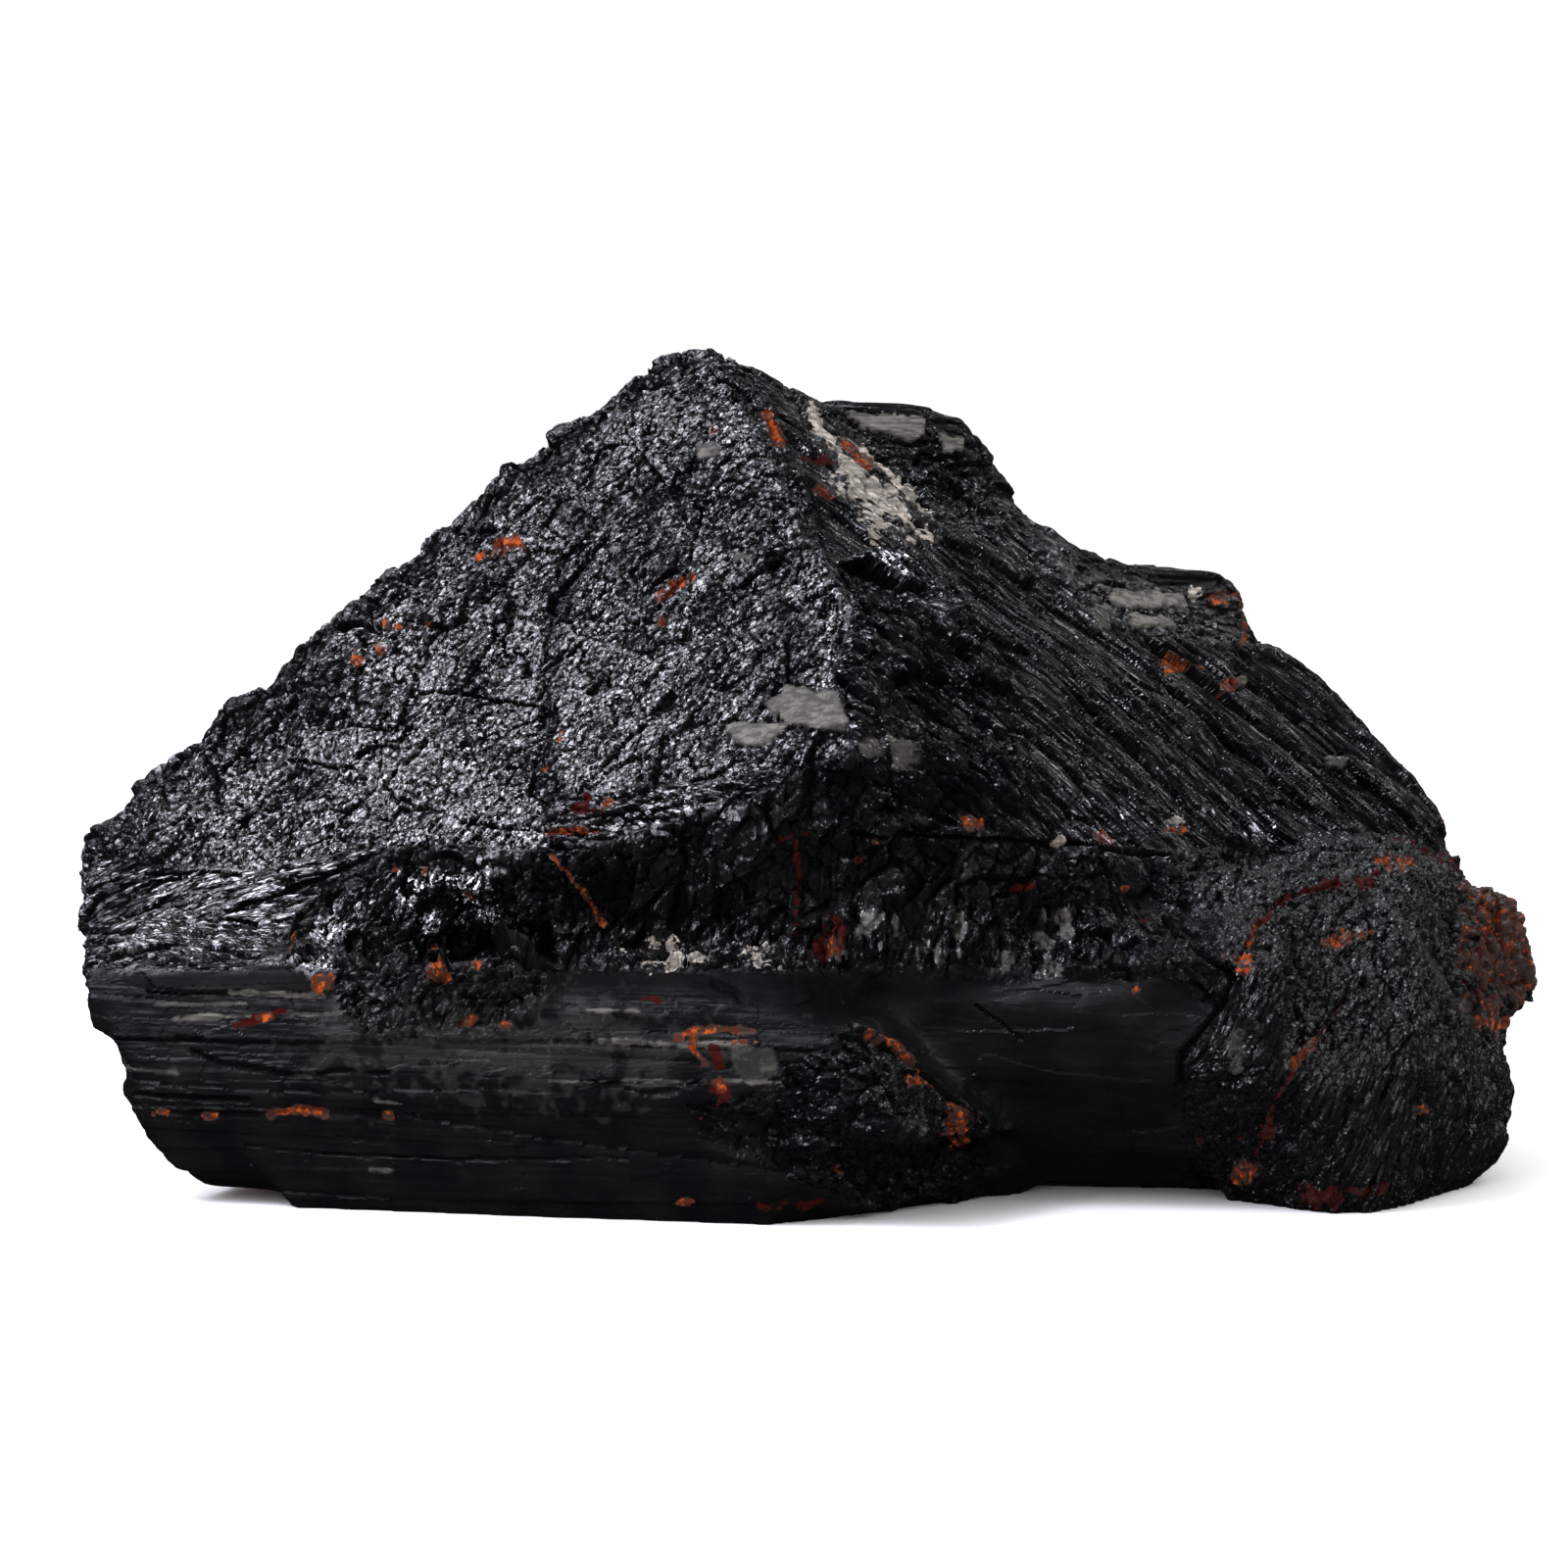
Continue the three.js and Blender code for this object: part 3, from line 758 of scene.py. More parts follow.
ZONES = (
    Zone(
        "left_face",
        ((30, 1000), (90, 988), (250, 985), (300, 940), (345, 895), (400, 868), (440, 865), (560, 870),
         (640, 850), (700, 830), (790, 800), (870, 760), (850, 690), (865, 640), (855, 600), (830, 520),
         (810, 460), (790, 420), (752, 372), (700, 300), (400, 280), (30, 640)),
        LEFT_FIBRE, FACE_LEFT, Swell(22, 0.9),
        (Layer((17, 10, 10), 0.35, 0.14, 0.2), Layer((6.5, 3.6, 3.6), 0.22, 0.16, 0.22),
         Layer((2.6, 1.6, 1.6), 0.1, 0.22, 0.24),
         Layer((3.4, 2.4, 3), 0.7, 0.5, shape=Shape.SCOOP, share=0.09),
         Layer((1.2, 0.8, 0.8), 0.03, 0.18)),
        grain=(0.56, 0.36, 0.36), hackle=0.58, lean=0.5, gloss=0.8,
    ),
    Zone(
        "left_fibres",
        ((30, 800), (110, 872), (160, 884), (260, 888), (330, 872), (385, 860), (400, 868), (345, 895),
         (300, 940), (252, 990), (90, 992), (30, 1000)),
        LEFT_STREAK, FACE_LEFT, Swell(20, 0.8),
        (Layer((22, 6, 6), 0.4, 0.2, 0.3), Layer((9, 1.9, 1.9), 0.18, 0.3, 0.2),
         Layer((3, 0.9, 0.9), 0.06, 0.3)),
        grain=(1.8, 0.34, 0.34), hackle=0.55, lean=0.4, gloss=1,
    ),
    Zone(
        "lower_ledges",
        ((556, 812), (640, 804), (720, 796), (800, 786), (800, 806), (700, 836), (640, 856), (560, 874)),
        (0.98, 0, -0.1), FACE_LEFT, Swell(20, 0.6),
        (Layer((15, 1.8, 1.8), 0.45, 0.4, 0.5), Layer((5, 0.9, 0.9), 0.12, 0.4, 0.1)),
        grain=(2.6, 0.36, 0.36), hackle=0.6, lean=0.34, gloss=0.85,
    ),
    Zone(
        "right_face",
        ((752, 372), (790, 420), (810, 460), (830, 520), (855, 600), (865, 640), (850, 690), (870, 760),
         (895, 830), (1000, 852), (1200, 866), (1330, 866), (1420, 850), (1530, 860), (1560, 700),
         (1330, 600), (1290, 660), (1240, 656), (1150, 645), (1100, 605), (1060, 560), (1045, 526),
         (960, 548), (885, 540), (850, 490), (815, 420), (790, 360)),
        SPLINTER, FACE_RIGHT, Swell(20, 0.8),
        (Layer((30, 4.5, 4.5), 0.4, 0.24, 0.45), Layer((16, 1.6, 2), 0.18, 0.38, 0.28),
         Layer((8, 0.75, 1), 0.06, 0.36, 0.05)),
        grain=(4.5, 0.34, 0.34), hackle=0.62, gloss=0.85,
    ),
    Zone(
        "splinter_recess",
        ((862, 570), (905, 556), (985, 610), (1040, 720), (1060, 800), (1030, 850), (895, 830),
         (870, 760), (852, 690), (866, 640)),
        SPLINTER, FACE_RIGHT, Swell(14, 0.8),
        (Layer((10, 5, 5), 1.1, 0.4, 0.5), Layer((4.5, 1.8, 1.8), 0.35, 0.5, 0.3),
         Layer((2, 0.9, 0.9), 0.1, 0.4)),
        grain=(1.6, 0.42, 0.42), hackle=0.7, gloss=0.9, shine=0.9,
    ),
    Zone(
        "crest",
        ((800, 380), (1000, 390), (1060, 520), (1045, 526), (960, 548), (885, 540), (850, 490),
         (815, 420)),
        CRYSTAL_AXIS, CREST_OUT, Swell(15, 0.4),
        (Layer((7, 3.4, 3.4), 0.3, 0.3, 0.3), Layer((3, 1.4, 1.4), 0.12, 0.4, 0.12),
         Layer((1.4, 0.8, 0.8), 0.05, 0.35)),
        grain=(1.2, 0.5, 0.5), hackle=0.6, gloss=0.85, shine=1.4,
    ),
    Zone(
        "crest_rim",
        ((780, 360), (930, 380), (1010, 400), (1070, 500), (1070, 532), (1040, 526), (1000, 496),
         (968, 446), (948, 424), (862, 417), (780, 408)),
        CRYSTAL_AXIS, CREST_OUT, Swell(16, 0.4),
        (Layer((22, 3.2, 3.2), 0.22, 0.2, 0.22), Layer((9, 1.1, 1.1), 0.09, 0.3, 0.1)),
        grain=(2, 0.4, 0.4), hackle=0.34, gloss=0.5, shine=0.36,
    ),
    Zone(
        "crest_flake",
        ((834, 421), (856, 424), (905, 478), (936, 512), (965, 545), (930, 553), (890, 532), (862, 505),
         (852, 474)),
        SPLINTER, (0.1, -0.9, 0.4), Swell(15, 0.4),
        (Layer((9, 3, 3), 0.3, 0.2, 0.4), Layer((3.2, 1.6, 1.6), 0.1, 0.2, 0.25)),
        grain=(1.1, 0.55, 0.55), hackle=0.4, gloss=0.5,
    ),
    Zone(
        "shoulder_rim",
        ((1085, 545), (1258, 562), (1300, 590), (1300, 660), (1264, 655), (1262, 607), (1240, 596),
         (1100, 588)),
        CRYSTAL_AXIS, CREST_OUT, Swell(20, 0.2),
        (Layer((22, 2.6, 2.6), 0.26, 0.22, 0.25), Layer((9, 1, 1), 0.1, 0.3, 0.1)),
        grain=(2, 0.4, 0.4), hackle=0.34, gloss=0.5, shine=0.34,
    ),
    Zone(
        "shoulder",
        ((1080, 555), (1330, 560), (1330, 600), (1290, 660), (1240, 656), (1150, 645), (1100, 605)),
        CRYSTAL_AXIS, CREST_OUT, Swell(15, 0.3),
        (Layer((22, 2.6, 2.6), 0.26, 0.25, 0.3), Layer((9, 1, 1), 0.1, 0.3)),
        grain=(2, 0.5, 0.5), hackle=0.3, gloss=0.6,
    ),
    Zone(
        "middle_band",
        ((288, 985), (300, 940), (345, 895), (400, 868), (440, 865), (560, 870), (640, 850), (700, 830),
         (790, 800), (870, 760), (895, 830), (1000, 852), (1120, 864), (1120, 930), (1160, 1000),
         (1035, 990)),
        BREAK_FIBRE, BREAK_OUT, Swell(16, 0.8),
        (Layer((9, 5.5, 5.5), 1, 0.45, 0.4), Layer((3.6, 2.2, 2.2), 0.4, 0.5, 0.3),
         Layer((1.5, 0.9, 0.9), 0.12, 0.4)),
        grain=(1.1, 0.6, 0.6), hackle=0.36, gloss=0.5, shine=0.46,
    ),
    Zone(
        "broken_row",
        ((600, 945), (820, 940), (866, 918), (1000, 920), (1040, 945), (1062, 922), (1112, 920),
         (1112, 985), (1035, 1000), (850, 992), (600, 986)),
        (0.12, 0, 0.99), BREAK_OUT, Swell(12, 0.6),
        (Layer((5.5, 2, 2), 0.7, 0.5, 0.45), Layer((2.4, 0.9, 0.9), 0.2, 0.4, 0.2)),
        grain=(1.4, 0.42, 0.42), hackle=0.45, lean=0.05, gloss=0.75, shine=0.5,
    ),
    Zone(
        "arch_floor",
        ((314, 990), (326, 948), (352, 915), (374, 892), (404, 884), (470, 888), (532, 902), (548, 930),
         (530, 955), (500, 962), (470, 975), (430, 992)),
        (0.55, 0, 0.83), FACE_LEFT, Swell(12, 0.5),
        (Layer((9, 3.6, 3.6), 0.5, 0.25, 0.35), Layer((3.4, 1.5, 1.5), 0.16, 0.3, 0.2),
         Layer((1.4, 0.8, 0.8), 0.05, 0.3)),
        grain=(1.2, 0.36, 0.36), hackle=0.6, lean=0.12, gloss=0.9,
    ),
    Zone(
        "arch_rubble",
        ((346, 954), (400, 946), (480, 950), (560, 944), (620, 950), (620, 984), (560, 990), (340, 990)),
        BREAK_FIBRE, BREAK_OUT, Swell(10, 1),
        (Layer((5, 4, 4.5), 1.7, 0.5, 0.6), Layer((2.4, 2, 2.4), 0.5, 0.5, 0.3),
         Layer((1.1, 0.9, 1), 0.1, 0.4)),
        grain=(0.9, 0.45, 0.45), hackle=0.4, gloss=0.6, shine=0.6,
    ),
    Zone(
        "spilled_break",
        ((342, 984), (440, 992), (560, 986), (556, 1012), (520, 1040), (470, 1050), (420, 1048),
         (378, 1060), (350, 1042), (338, 1010)),
        BREAK_FIBRE, BREAK_OUT, Swell(10, 0.5),
        (Layer((5, 3.2, 3.2), 0.5, 0.35, 0.3), Layer((2.2, 1.5, 1.5), 0.2, 0.4, 0.2),
         Layer((1.1, 0.8, 0.8), 0.06, 0.3)),
        grain=(0.9, 0.5, 0.5), hackle=0.4, gloss=0.5, shine=0.34,
    ),
    Zone(
        "front_prism",
        ((30, 985), (288, 990), (1035, 988), (1060, 1000), (940, 1020), (867, 1047), (925, 1080),
         (960, 1112), (1010, 1146), (1010, 1290), (30, 1290)),
        PRISM_AXIS, PRISM_OUT, Swell(30, 0.3),
        (Layer((260, 7, 8), 0.26, 0.07, 0.15), Layer((110, 1.9, 4), 0.05, 0.09, 0.03),
         Layer((50, 0.8, 3), 0.015, 0.06), Layer((5, 3, 3), 0.03, 0.04)),
        grain=(5, 0.34, 0.5), hackle=0.2, gloss=0.3, shine=0.14,
    ),
    Zone(
        "smooth_band",
        ((120, 988), (300, 989), (700, 988), (1035, 988), (1060, 1002), (1010, 1040), (960, 1062),
         (905, 1058), (868, 1044), (800, 1034), (700, 1012), (340, 1013), (150, 1010)),
        PRISM_AXIS, PRISM_OUT, Swell(20, 0.2),
        (Layer((40, 4, 4), 0.1, 0.08),),
        grain=(4, 0.6, 0.6), hackle=0.08, gloss=0.2, shine=0.04,
    ),
    Zone(
        "broken_end",
        ((700, 1128), (760, 1118), (830, 1075), (867, 1047), (925, 1080), (960, 1112), (1010, 1146),
         (1010, 1250), (960, 1245), (870, 1230), (790, 1190), (720, 1165)),
        PRISM_AXIS, PRISM_OUT, Swell(10, 0.4),
        (Layer((6, 4, 4), 0.5, 0.35, 0.2), Layer((2.6, 1.8, 1.8), 0.22, 0.4, 0.15),
         Layer((1.2, 0.9, 0.9), 0.06, 0.3)),
        grain=(0.9, 0.6, 0.6), hackle=0.5, gloss=0.5, shine=0.62,
    ),
    Zone(
        "set_back_prism",
        ((1035, 988), (1160, 1000), (1205, 1005), (1245, 1035), (1205, 1075), (1203, 1110),
         (1215, 1260), (1010, 1290), (1010, 1146), (960, 1112), (925, 1080), (867, 1047), (940, 1020),
         (1060, 1000)),
        CRYSTAL_AXIS, (0, -1, 0), Swell(18, 0.4),
        (Layer((40, 6, 6), 0.05, 0.04), Layer((22, 1.8, 3), 0.02, 0.07)),
        grain=(3, 0.8, 0.8), hackle=0.08, gloss=0.35, shine=0.6,
    ),
    Zone(
        "shelly_break",
        ((1120, 864), (1200, 880), (1235, 940), (1262, 985), (1245, 1035), (1205, 1005), (1160, 1000),
         (1120, 930)),
        (0.5, 0, -0.85), (0.3, -0.9, 0.3), Swell(12, 0.5),
        (Layer((9, 6, 6), 0.9, 0.4, 0.2, Shape.SCOOP), Layer((4, 2.4, 2.4), 0.3, 0.45, 0.2),
         Layer((1.6, 1, 1), 0.08, 0.35)),
        grain=(1.4, 0.4, 0.4), hackle=0.36, gloss=0.7, shine=0.36,
    ),
    Zone(
        "right_lobe",
        ((1200, 866), (1330, 866), (1420, 850), (1530, 860), (1535, 905), (1498, 925), (1490, 990),
         (1500, 1050), (1545, 1050), (1600, 1070), (1600, 1290), (1215, 1260), (1203, 1110),
         (1205, 1075), (1245, 1035), (1262, 985), (1235, 940)),
        LOBE_FIBRE, (0.4, -0.9, 0.2), Swell(14, 0.8),
        (Layer((24, 4, 4), 0.22, 0.14, 0.2), Layer((9, 1.5, 1.5), 0.16, 0.34, 0.2),
         Layer((4.5, 0.8, 0.8), 0.07, 0.35, 0.08)),
        grain=(2.4, 0.3, 0.3), hackle=0.6, gloss=0.5, shine=1.15,
    ),
    Zone(
        "rust_lump",
        ((1498, 925), (1535, 898), (1600, 890), (1600, 1070), (1545, 1050), (1500, 1050), (1490, 990)),
        (0, 0, 1), (1, -0.3, 0), Swell(5, 0.7),
        (Layer((3.4, 1.7, 1.7), 0.5, 0.5, 0.4), Layer((1.5, 1, 1), 0.14, 0.6, 0.1, Shape.DOME)),
        grain=(0.5, 0.5, 0.5), hackle=0.5, gloss=0.1,
    ),
    Zone(
        "left_ridge",
        ((30, 890), (30, 780), (200, 640), (330, 570), (480, 440), (700, 290), (760, 370), (712, 372),
         (600, 446), (500, 528), (392, 622), (300, 690), (232, 764), (150, 806), (104, 850), (92, 890)),
        LEFT_FIBRE, FACE_LEFT, Swell(12, 0.7),
        (Layer((5, 3.6, 3.6), 0.42, 0.35, 0.28), Layer((2.2, 1.6, 1.6), 0.16, 0.4, 0.2)),
        grain=(0.7, 0.5, 0.5), hackle=0.6, lean=0.34, gloss=0.8,
    ),
)

# Where two outlines overlap, the first zone lies over the second.
OVERLAIN = (
    ("lower_ledges", "left_face"), ("left_ridge", "left_face"), ("left_ridge", "left_fibres"),
    ("arch_rubble", "arch_floor"), ("arch_rubble", "middle_band"), ("splinter_recess", "right_face"),
    ("crest_flake", "crest"), ("crest_rim", "crest"), ("shoulder_rim", "shoulder"),
    ("broken_row", "middle_band"), ("left_fibres", "left_face"), ("arch_floor", "middle_band"),
    ("spilled_break", "smooth_band"), ("spilled_break", "middle_band"),
    ("spilled_break", "front_prism"), ("smooth_band", "front_prism"), ("broken_end", "front_prism"),
)

HIDDEN_CRYSTALS = Zone(
    "back_crystals",
    (),
    CRYSTAL_AXIS, (0, 1, 0.2), Swell(26, 0.5),
    (Layer((55, 6, 6), 0.4, 0.2, 0.3), Layer((30, 2, 2), 0.18, 0.35, 0.15),
     Layer((14, 0.9, 0.9), 0.06, 0.3)),
    grain=(4, 0.45, 0.45), hackle=0.2, gloss=0.55,
)
HIDDEN_BREAKS = Zone(
    "back_breaks",
    (),
    LEFT_FIBRE, (0.6, 0.4, 0.5), Swell(18, 0.8),
    (Layer((9, 6, 6), 0.6, 0.25, 0.25), Layer((3.2, 2.2, 2.2), 0.25, 0.35, 0.2),
     Layer((1.4, 1, 1), 0.08, 0.35)),
    grain=(0.8, 0.6, 0.6), hackle=0.5, gloss=0.5,
)
FOOT = Zone(
    "foot",
    (),
    CRYSTAL_AXIS, (0, 0, -1), Swell(20, 0),
    (Layer((8, 5, 5), 0.1, 0.02),),
    grain=(0.9, 0.6, 0.6), hackle=0.35, gloss=0.3,
)


@dataclass(frozen=True)
class Groove:
    """A crack or ledge line on the camera's side: its line and width in pixels, depth in mm."""

    line: Line
    width: float
    depth: float


FACE_CRACKS = (
    Groove(((430, 707), (480, 710), (540, 717), (556, 722)), 2.4, 1),
    Groove(((355, 739), (400, 745)), 2.3, 0.8),
    Groove(((295, 775), (350, 782), (362, 786)), 2.3, 0.9),
    Groove(((270, 755), (290, 735)), 3, 1),
    Groove(((392, 800), (408, 776)), 3.2, 1.3),
    Groove(((418, 782), (440, 762)), 3, 1),
    Groove(((150, 893), (200, 890), (245, 892)), 2.3, 0.8),
    Groove(((175, 945), (225, 940), (262, 943)), 2.4, 0.9),
    Groove(((475, 843), (520, 846), (560, 847), (610, 846)), 2.4, 0.9),
    Groove(((436, 853), (437, 868)), 3, 1),
    Groove(((345, 642), (382, 638)), 5, 1.6),
    Groove(((562, 640), (554, 690), (562, 740), (555, 800), (562, 860)), 4, 0.25),
    Groove(((600, 560), (590, 620), (562, 650)), 3, 0.2),
)
PRISM_CRACKS = (
    Groove(((180, 1058), (205, 1061)), 3.5, 1),
    Groove(((195, 1072), (225, 1084), (262, 1091), (300, 1097), (345, 1092), (395, 1095)), 4, 0.6),
    Groove(((140, 1116), (190, 1120), (252, 1123)), 4, 0.8),
    Groove(((172, 1134), (250, 1138), (330, 1136), (400, 1140)), 6, 0.5),
    Groove(((252, 1168), (330, 1176), (470, 1182), (640, 1180)), 3, 0.35),
    Groove(((150, 1012), (330, 1016)), 3, 0.5),
    Groove(((600, 1103), (660, 1104), (720, 1103)), 3, 0.5),
    Groove(((640, 1110), (665, 1116), (690, 1112)), 6, 0.5),
    Groove(((730, 1004), (748, 1010), (756, 1020)), 5, 0.4),
    Groove(((995, 1025), (1015, 1040), (1040, 1058)), 3, 0.6),
)
LOBE_CRACKS = (
    Groove(((1190, 935), (1225, 965), (1258, 1000)), 4.5, 1.8),
    Groove(((1258, 1000), (1240, 1035), (1205, 1075), (1203, 1110)), 4, 0.9),
    Groove(((1215, 1000), (1235, 1018)), 3, 0.9),
    Groove(((870, 850), (1000, 856), (1120, 862), (1210, 872)), 4, 1.4),
    Groove(((870, 1046), (925, 1080), (960, 1112), (1010, 1146)), 4.5, 1.5),
    Groove(((1262, 980), (1280, 950), (1315, 915), (1365, 900)), 3, 0.6),
)
GROOVES = FACE_CRACKS + PRISM_CRACKS + LOBE_CRACKS


@dataclass
class Relief:
    """Raises the zones' facets on the skin.

    Attributes:
        sight: Which points the camera sees.
        edge: Half the width, in pixels, of the change from one zone to the next.
        zone_margin: How far past its outline a zone is looked for, in pixels.
        groove_margin: How far past its line a groove is looked for, in pixels.
        hidden: The zones outside all outlines: crystals, their broken ends and the foot.
    """

    sight: Sight
    edge: float = 7.0
    zone_margin: float = 12.0
    groove_margin: float = 15.0
    hidden: tuple[Zone, ...] = (HIDDEN_CRYSTALS, HIDDEN_BREAKS, FOOT)

    def zones(self) -> tuple[Zone, ...]:
        """Every zone, in the order of the columns of shares."""
        return ZONES + self.hidden

    def hidden_shares(self, points: Array, normals: Array) -> Array:
        """How far each point off the outlines belongs to each hidden zone, one column a zone.

        Faces that look left or right and the high left side are broken, but not the crest.

        Args:
            points: Places in millimetres.
            normals: Their outward directions, each one long.

        Returns:
            Shares that add up to 1 in each row.
        """
        broken = eased(np.abs(normals[:, 0]), 0.45, 0.7)
        high_left = eased(points[:, 2], 40.0, 60.0) * eased(-points[:, 0], -10.0, 10.0)
        broken = np.maximum(broken, high_left * eased(normals[:, 2], 0.1, 0.4))
        broken *= 1.0 - eased(points[:, 2], 68.0, 74.0) * eased(points[:, 0], 0.0, 6.0)
        under = eased(-normals[:, 2], 0.85, 0.97) * eased(-points[:, 2], -1.5, -0.4)
        return np.stack([(1 - broken) * (1 - under), broken * (1 - under), under], axis=1)

    def shares(self, points: Array, normals: Array) -> Array:
        """How far each point belongs to each zone: outlines where seen, else its facing.

        Args:
            points: Places in millimetres.
            normals: Their slow normals.

        Returns:
            One column a zone, then one for each hidden zone; each row sums to 1.
        """
        pixels, shown = self.sight.seen(points, normals)
        shown = np.maximum(shown, self.sight.close(points, normals))
        front = np.zeros((len(points), len(ZONES)))
        for number, zone in enumerate(ZONES):
            near = within(pixels, window_round(zone.outline, self.zone_margin)) & (shown > 0)
            inner = inside_by(pixels[near, :2], zone.outline)
            front[near, number] = eased(inner, -self.edge, self.edge)
        names = [zone.name for zone in ZONES]
        for inner, outer in OVERLAIN:
            front[:, names.index(outer)] *= 1.0 - front[:, names.index(inner)]
        total = front.sum(axis=1, keepdims=True)
        front *= shown[:, None] / np.maximum(total, 1.0)
        left = 1.0 - front.sum(axis=1)
        return np.concatenate([front, left[:, None] * self.hidden_shares(points, normals)], axis=1)

    def raised(self, skin: Skin) -> tuple[Array, Array, Array]:
        """Moves the skin's points out along their normals by the zones' heights.

        Args:
            skin: The even skin.

        Returns:
            The moved points, how far each belongs to each zone, and how far it was moved.
        """
        shares = self.shares(skin.points, skin.normals)
        height = np.zeros(len(skin.points))
        for number, zone in enumerate(self.zones()):
            on = shares[:, number] > 0.01
            if on.any():
                seed = Seed.ZONES + ZONE_SEEDS * number
                height[on] += shares[on, number] * zone.height(skin.points[on], seed)
        pixels, shown = self.sight.seen(skin.points, skin.normals)
        wander = cloud(skin.points, 2.5, Seed.WANDER, 2) * 2.0
        ragged = 1.0 + 0.6 * cloud(skin.points, 3.5, Seed.RAGGED, 2)
        for groove in GROOVES:
            near = within(pixels, window_round(groove.line, self.groove_margin)) & (shown > 0.3)
            away = distance_to_line(pixels[near, :2] + wander[near, None] * (0.3, 0.8), groove.line)
            reach = away / ragged[near]
            height[near] -= groove.depth * (1.0 - eased(reach, 0.0, groove.width)) * shown[near]
        rough = cloud(skin.points, 1.6, Seed.ROUGH, 3)
        for facet in FACETS:
            flat = facet.amount(pixels[:, :2], rough) * shown
            height += flat * (facet.proud + 0.12 * rough - height)
        return skin.points + skin.normals * height[:, None], shares, height


# ---- stains, pale facets, and painted sheen, glints and shade ------------------------------------


class Stain(IntEnum):
    """What lies on or in the black, and where sheen, glints and shade are painted.

    The first four are kept in the stain attribute, in this order. Pale is bare cleavage, partly
    its own colour and partly painted sheen of its planes. A glint is a painted highlight that makes
    the grains lie parallel to the left face and shine, and painted shade takes that away.
    """

    RUST = 0
    DARK_RED = 1
    PALE = 2
    CREAM = 3
    GLINT = 4
    DULL = 5


@dataclass(frozen=True)
class Blot:
    """A patch on the camera's side: its middle, half-widths and turn, in pixels and degrees."""

    stain: Stain
    x: float
    y: float
    wide: float
    tall: float
    turn: float = 0.0
    strength: float = 1.0

    def amount(self, pixels: Array, rough: Array) -> Array:
        """1 inside and 0 outside, with an edge moved by uneven noise.

        Args:
            pixels: Columns and rows.
            rough: Uneven noise at each.

        Returns:
            The amount at each.
        """
        angle = math.radians(self.turn)
        away = pixels - (self.x, self.y)
        across = (away @ (math.cos(angle), math.sin(angle))) / self.wide
        upright = (away @ (-math.sin(angle), math.cos(angle))) / self.tall
        return 1.0 - eased(np.hypot(across, upright) + 0.8 * rough, 0.6, 1.15)

    def window(self) -> Window:
        """The pixels that it may reach."""
        return window_round(((self.x, self.y),), 1.8 * max(self.wide, self.tall))


@dataclass(frozen=True)
class Vein:
    """A stained line on the camera's side, in pixels."""

    stain: Stain
    line: Line
    width: float
    strength: float = 1.0

    def amount(self, pixels: Array, rough: Array) -> Array:
        """1 on the line and 0 a width away, broken up by uneven noise."""
        reach = distance_to_line(pixels, self.line) / self.width + 0.6 * rough
        return 1.0 - eased(reach, 0.3, 1.1)

    def window(self) -> Window:
        """The pixels that it may reach."""
        return window_round(self.line, 3 * self.width)


@dataclass(frozen=True)
class Facet:
    """A flat cleavage face on the camera's side, with sharp edges, pale in part as painted sheen.

    Attributes:
        outline: Its corners in pixels.
        strength: How pale it is.
        proud: How far it stands out of the skin, in millimetres.
        stain: A cleavage face is pale, partly its own colour and partly painted sheen.
    """

    outline: Line
    strength: float = 1.0
    proud: float = 0.25
    stain: Stain = Stain.PALE

    def amount(self, pixels: Array, rough: Array) -> Array:
        """1 inside and 0 outside, over a broken edge three pixels wide.

        Args:
            pixels: Columns and rows.
            rough: Uneven noise at each.

        Returns:
            The amount at each.
        """
        found = np.zeros(len(pixels))
        near = within(pixels, self.window())
        inner = inside_by(pixels[near], self.outline) + 3.5 * rough[near]
        found[near] = eased(inner, -1.5, 1.5)
        return found

    def window(self) -> Window:
        """The pixels that it may reach."""
        return window_round(self.outline, 4.0)


# Cleavage faces, their pale partly their own colour and partly painted sheen of the planes.
FACETS = (
    Facet(((801, 699), (854, 707), (867, 740), (836, 744), (803, 738), (775, 717)), 1.1),
    Facet(((742, 740), (779, 736), (801, 741), (787, 756), (767, 762), (750, 754)), 1.2),
    Facet(((872, 757), (896, 752), (902, 772), (880, 776)), 0.45),
    Facet(((905, 754), (930, 757), (936, 780), (908, 786)), 0.5),
    Facet(((864, 420), (947, 424), (944, 444), (925, 448), (893, 438), (872, 430)), 1.7),
    Facet(((957, 440), (980, 446), (984, 460), (964, 460)), 1.2),
    Facet(((1131, 604), (1206, 608), (1209, 618), (1140, 621)), 1.8),
    Facet(((1148, 626), (1198, 629), (1199, 640), (1158, 639)), 1.7),
    Facet(((1108, 622), (1130, 624), (1140, 640), (1120, 644)), 0.4),
    Facet(((742, 1068), (792, 1070), (798, 1098), (760, 1103), (746, 1092)), 0.35),
    Facet(((709, 455), (728, 450), (738, 460), (730, 470), (714, 469)), 0.9),
    Facet(((750, 562), (764, 563), (766, 572), (752, 573)), 0.6),
    Facet(((704, 676), (716, 677), (714, 685), (703, 684)), 0.5),
    Facet(((1256, 690), (1274, 693), (1272, 702), (1258, 700)), 0.6),
    Facet(((1355, 772), (1375, 776), (1372, 785), (1357, 782)), 0.5),
)

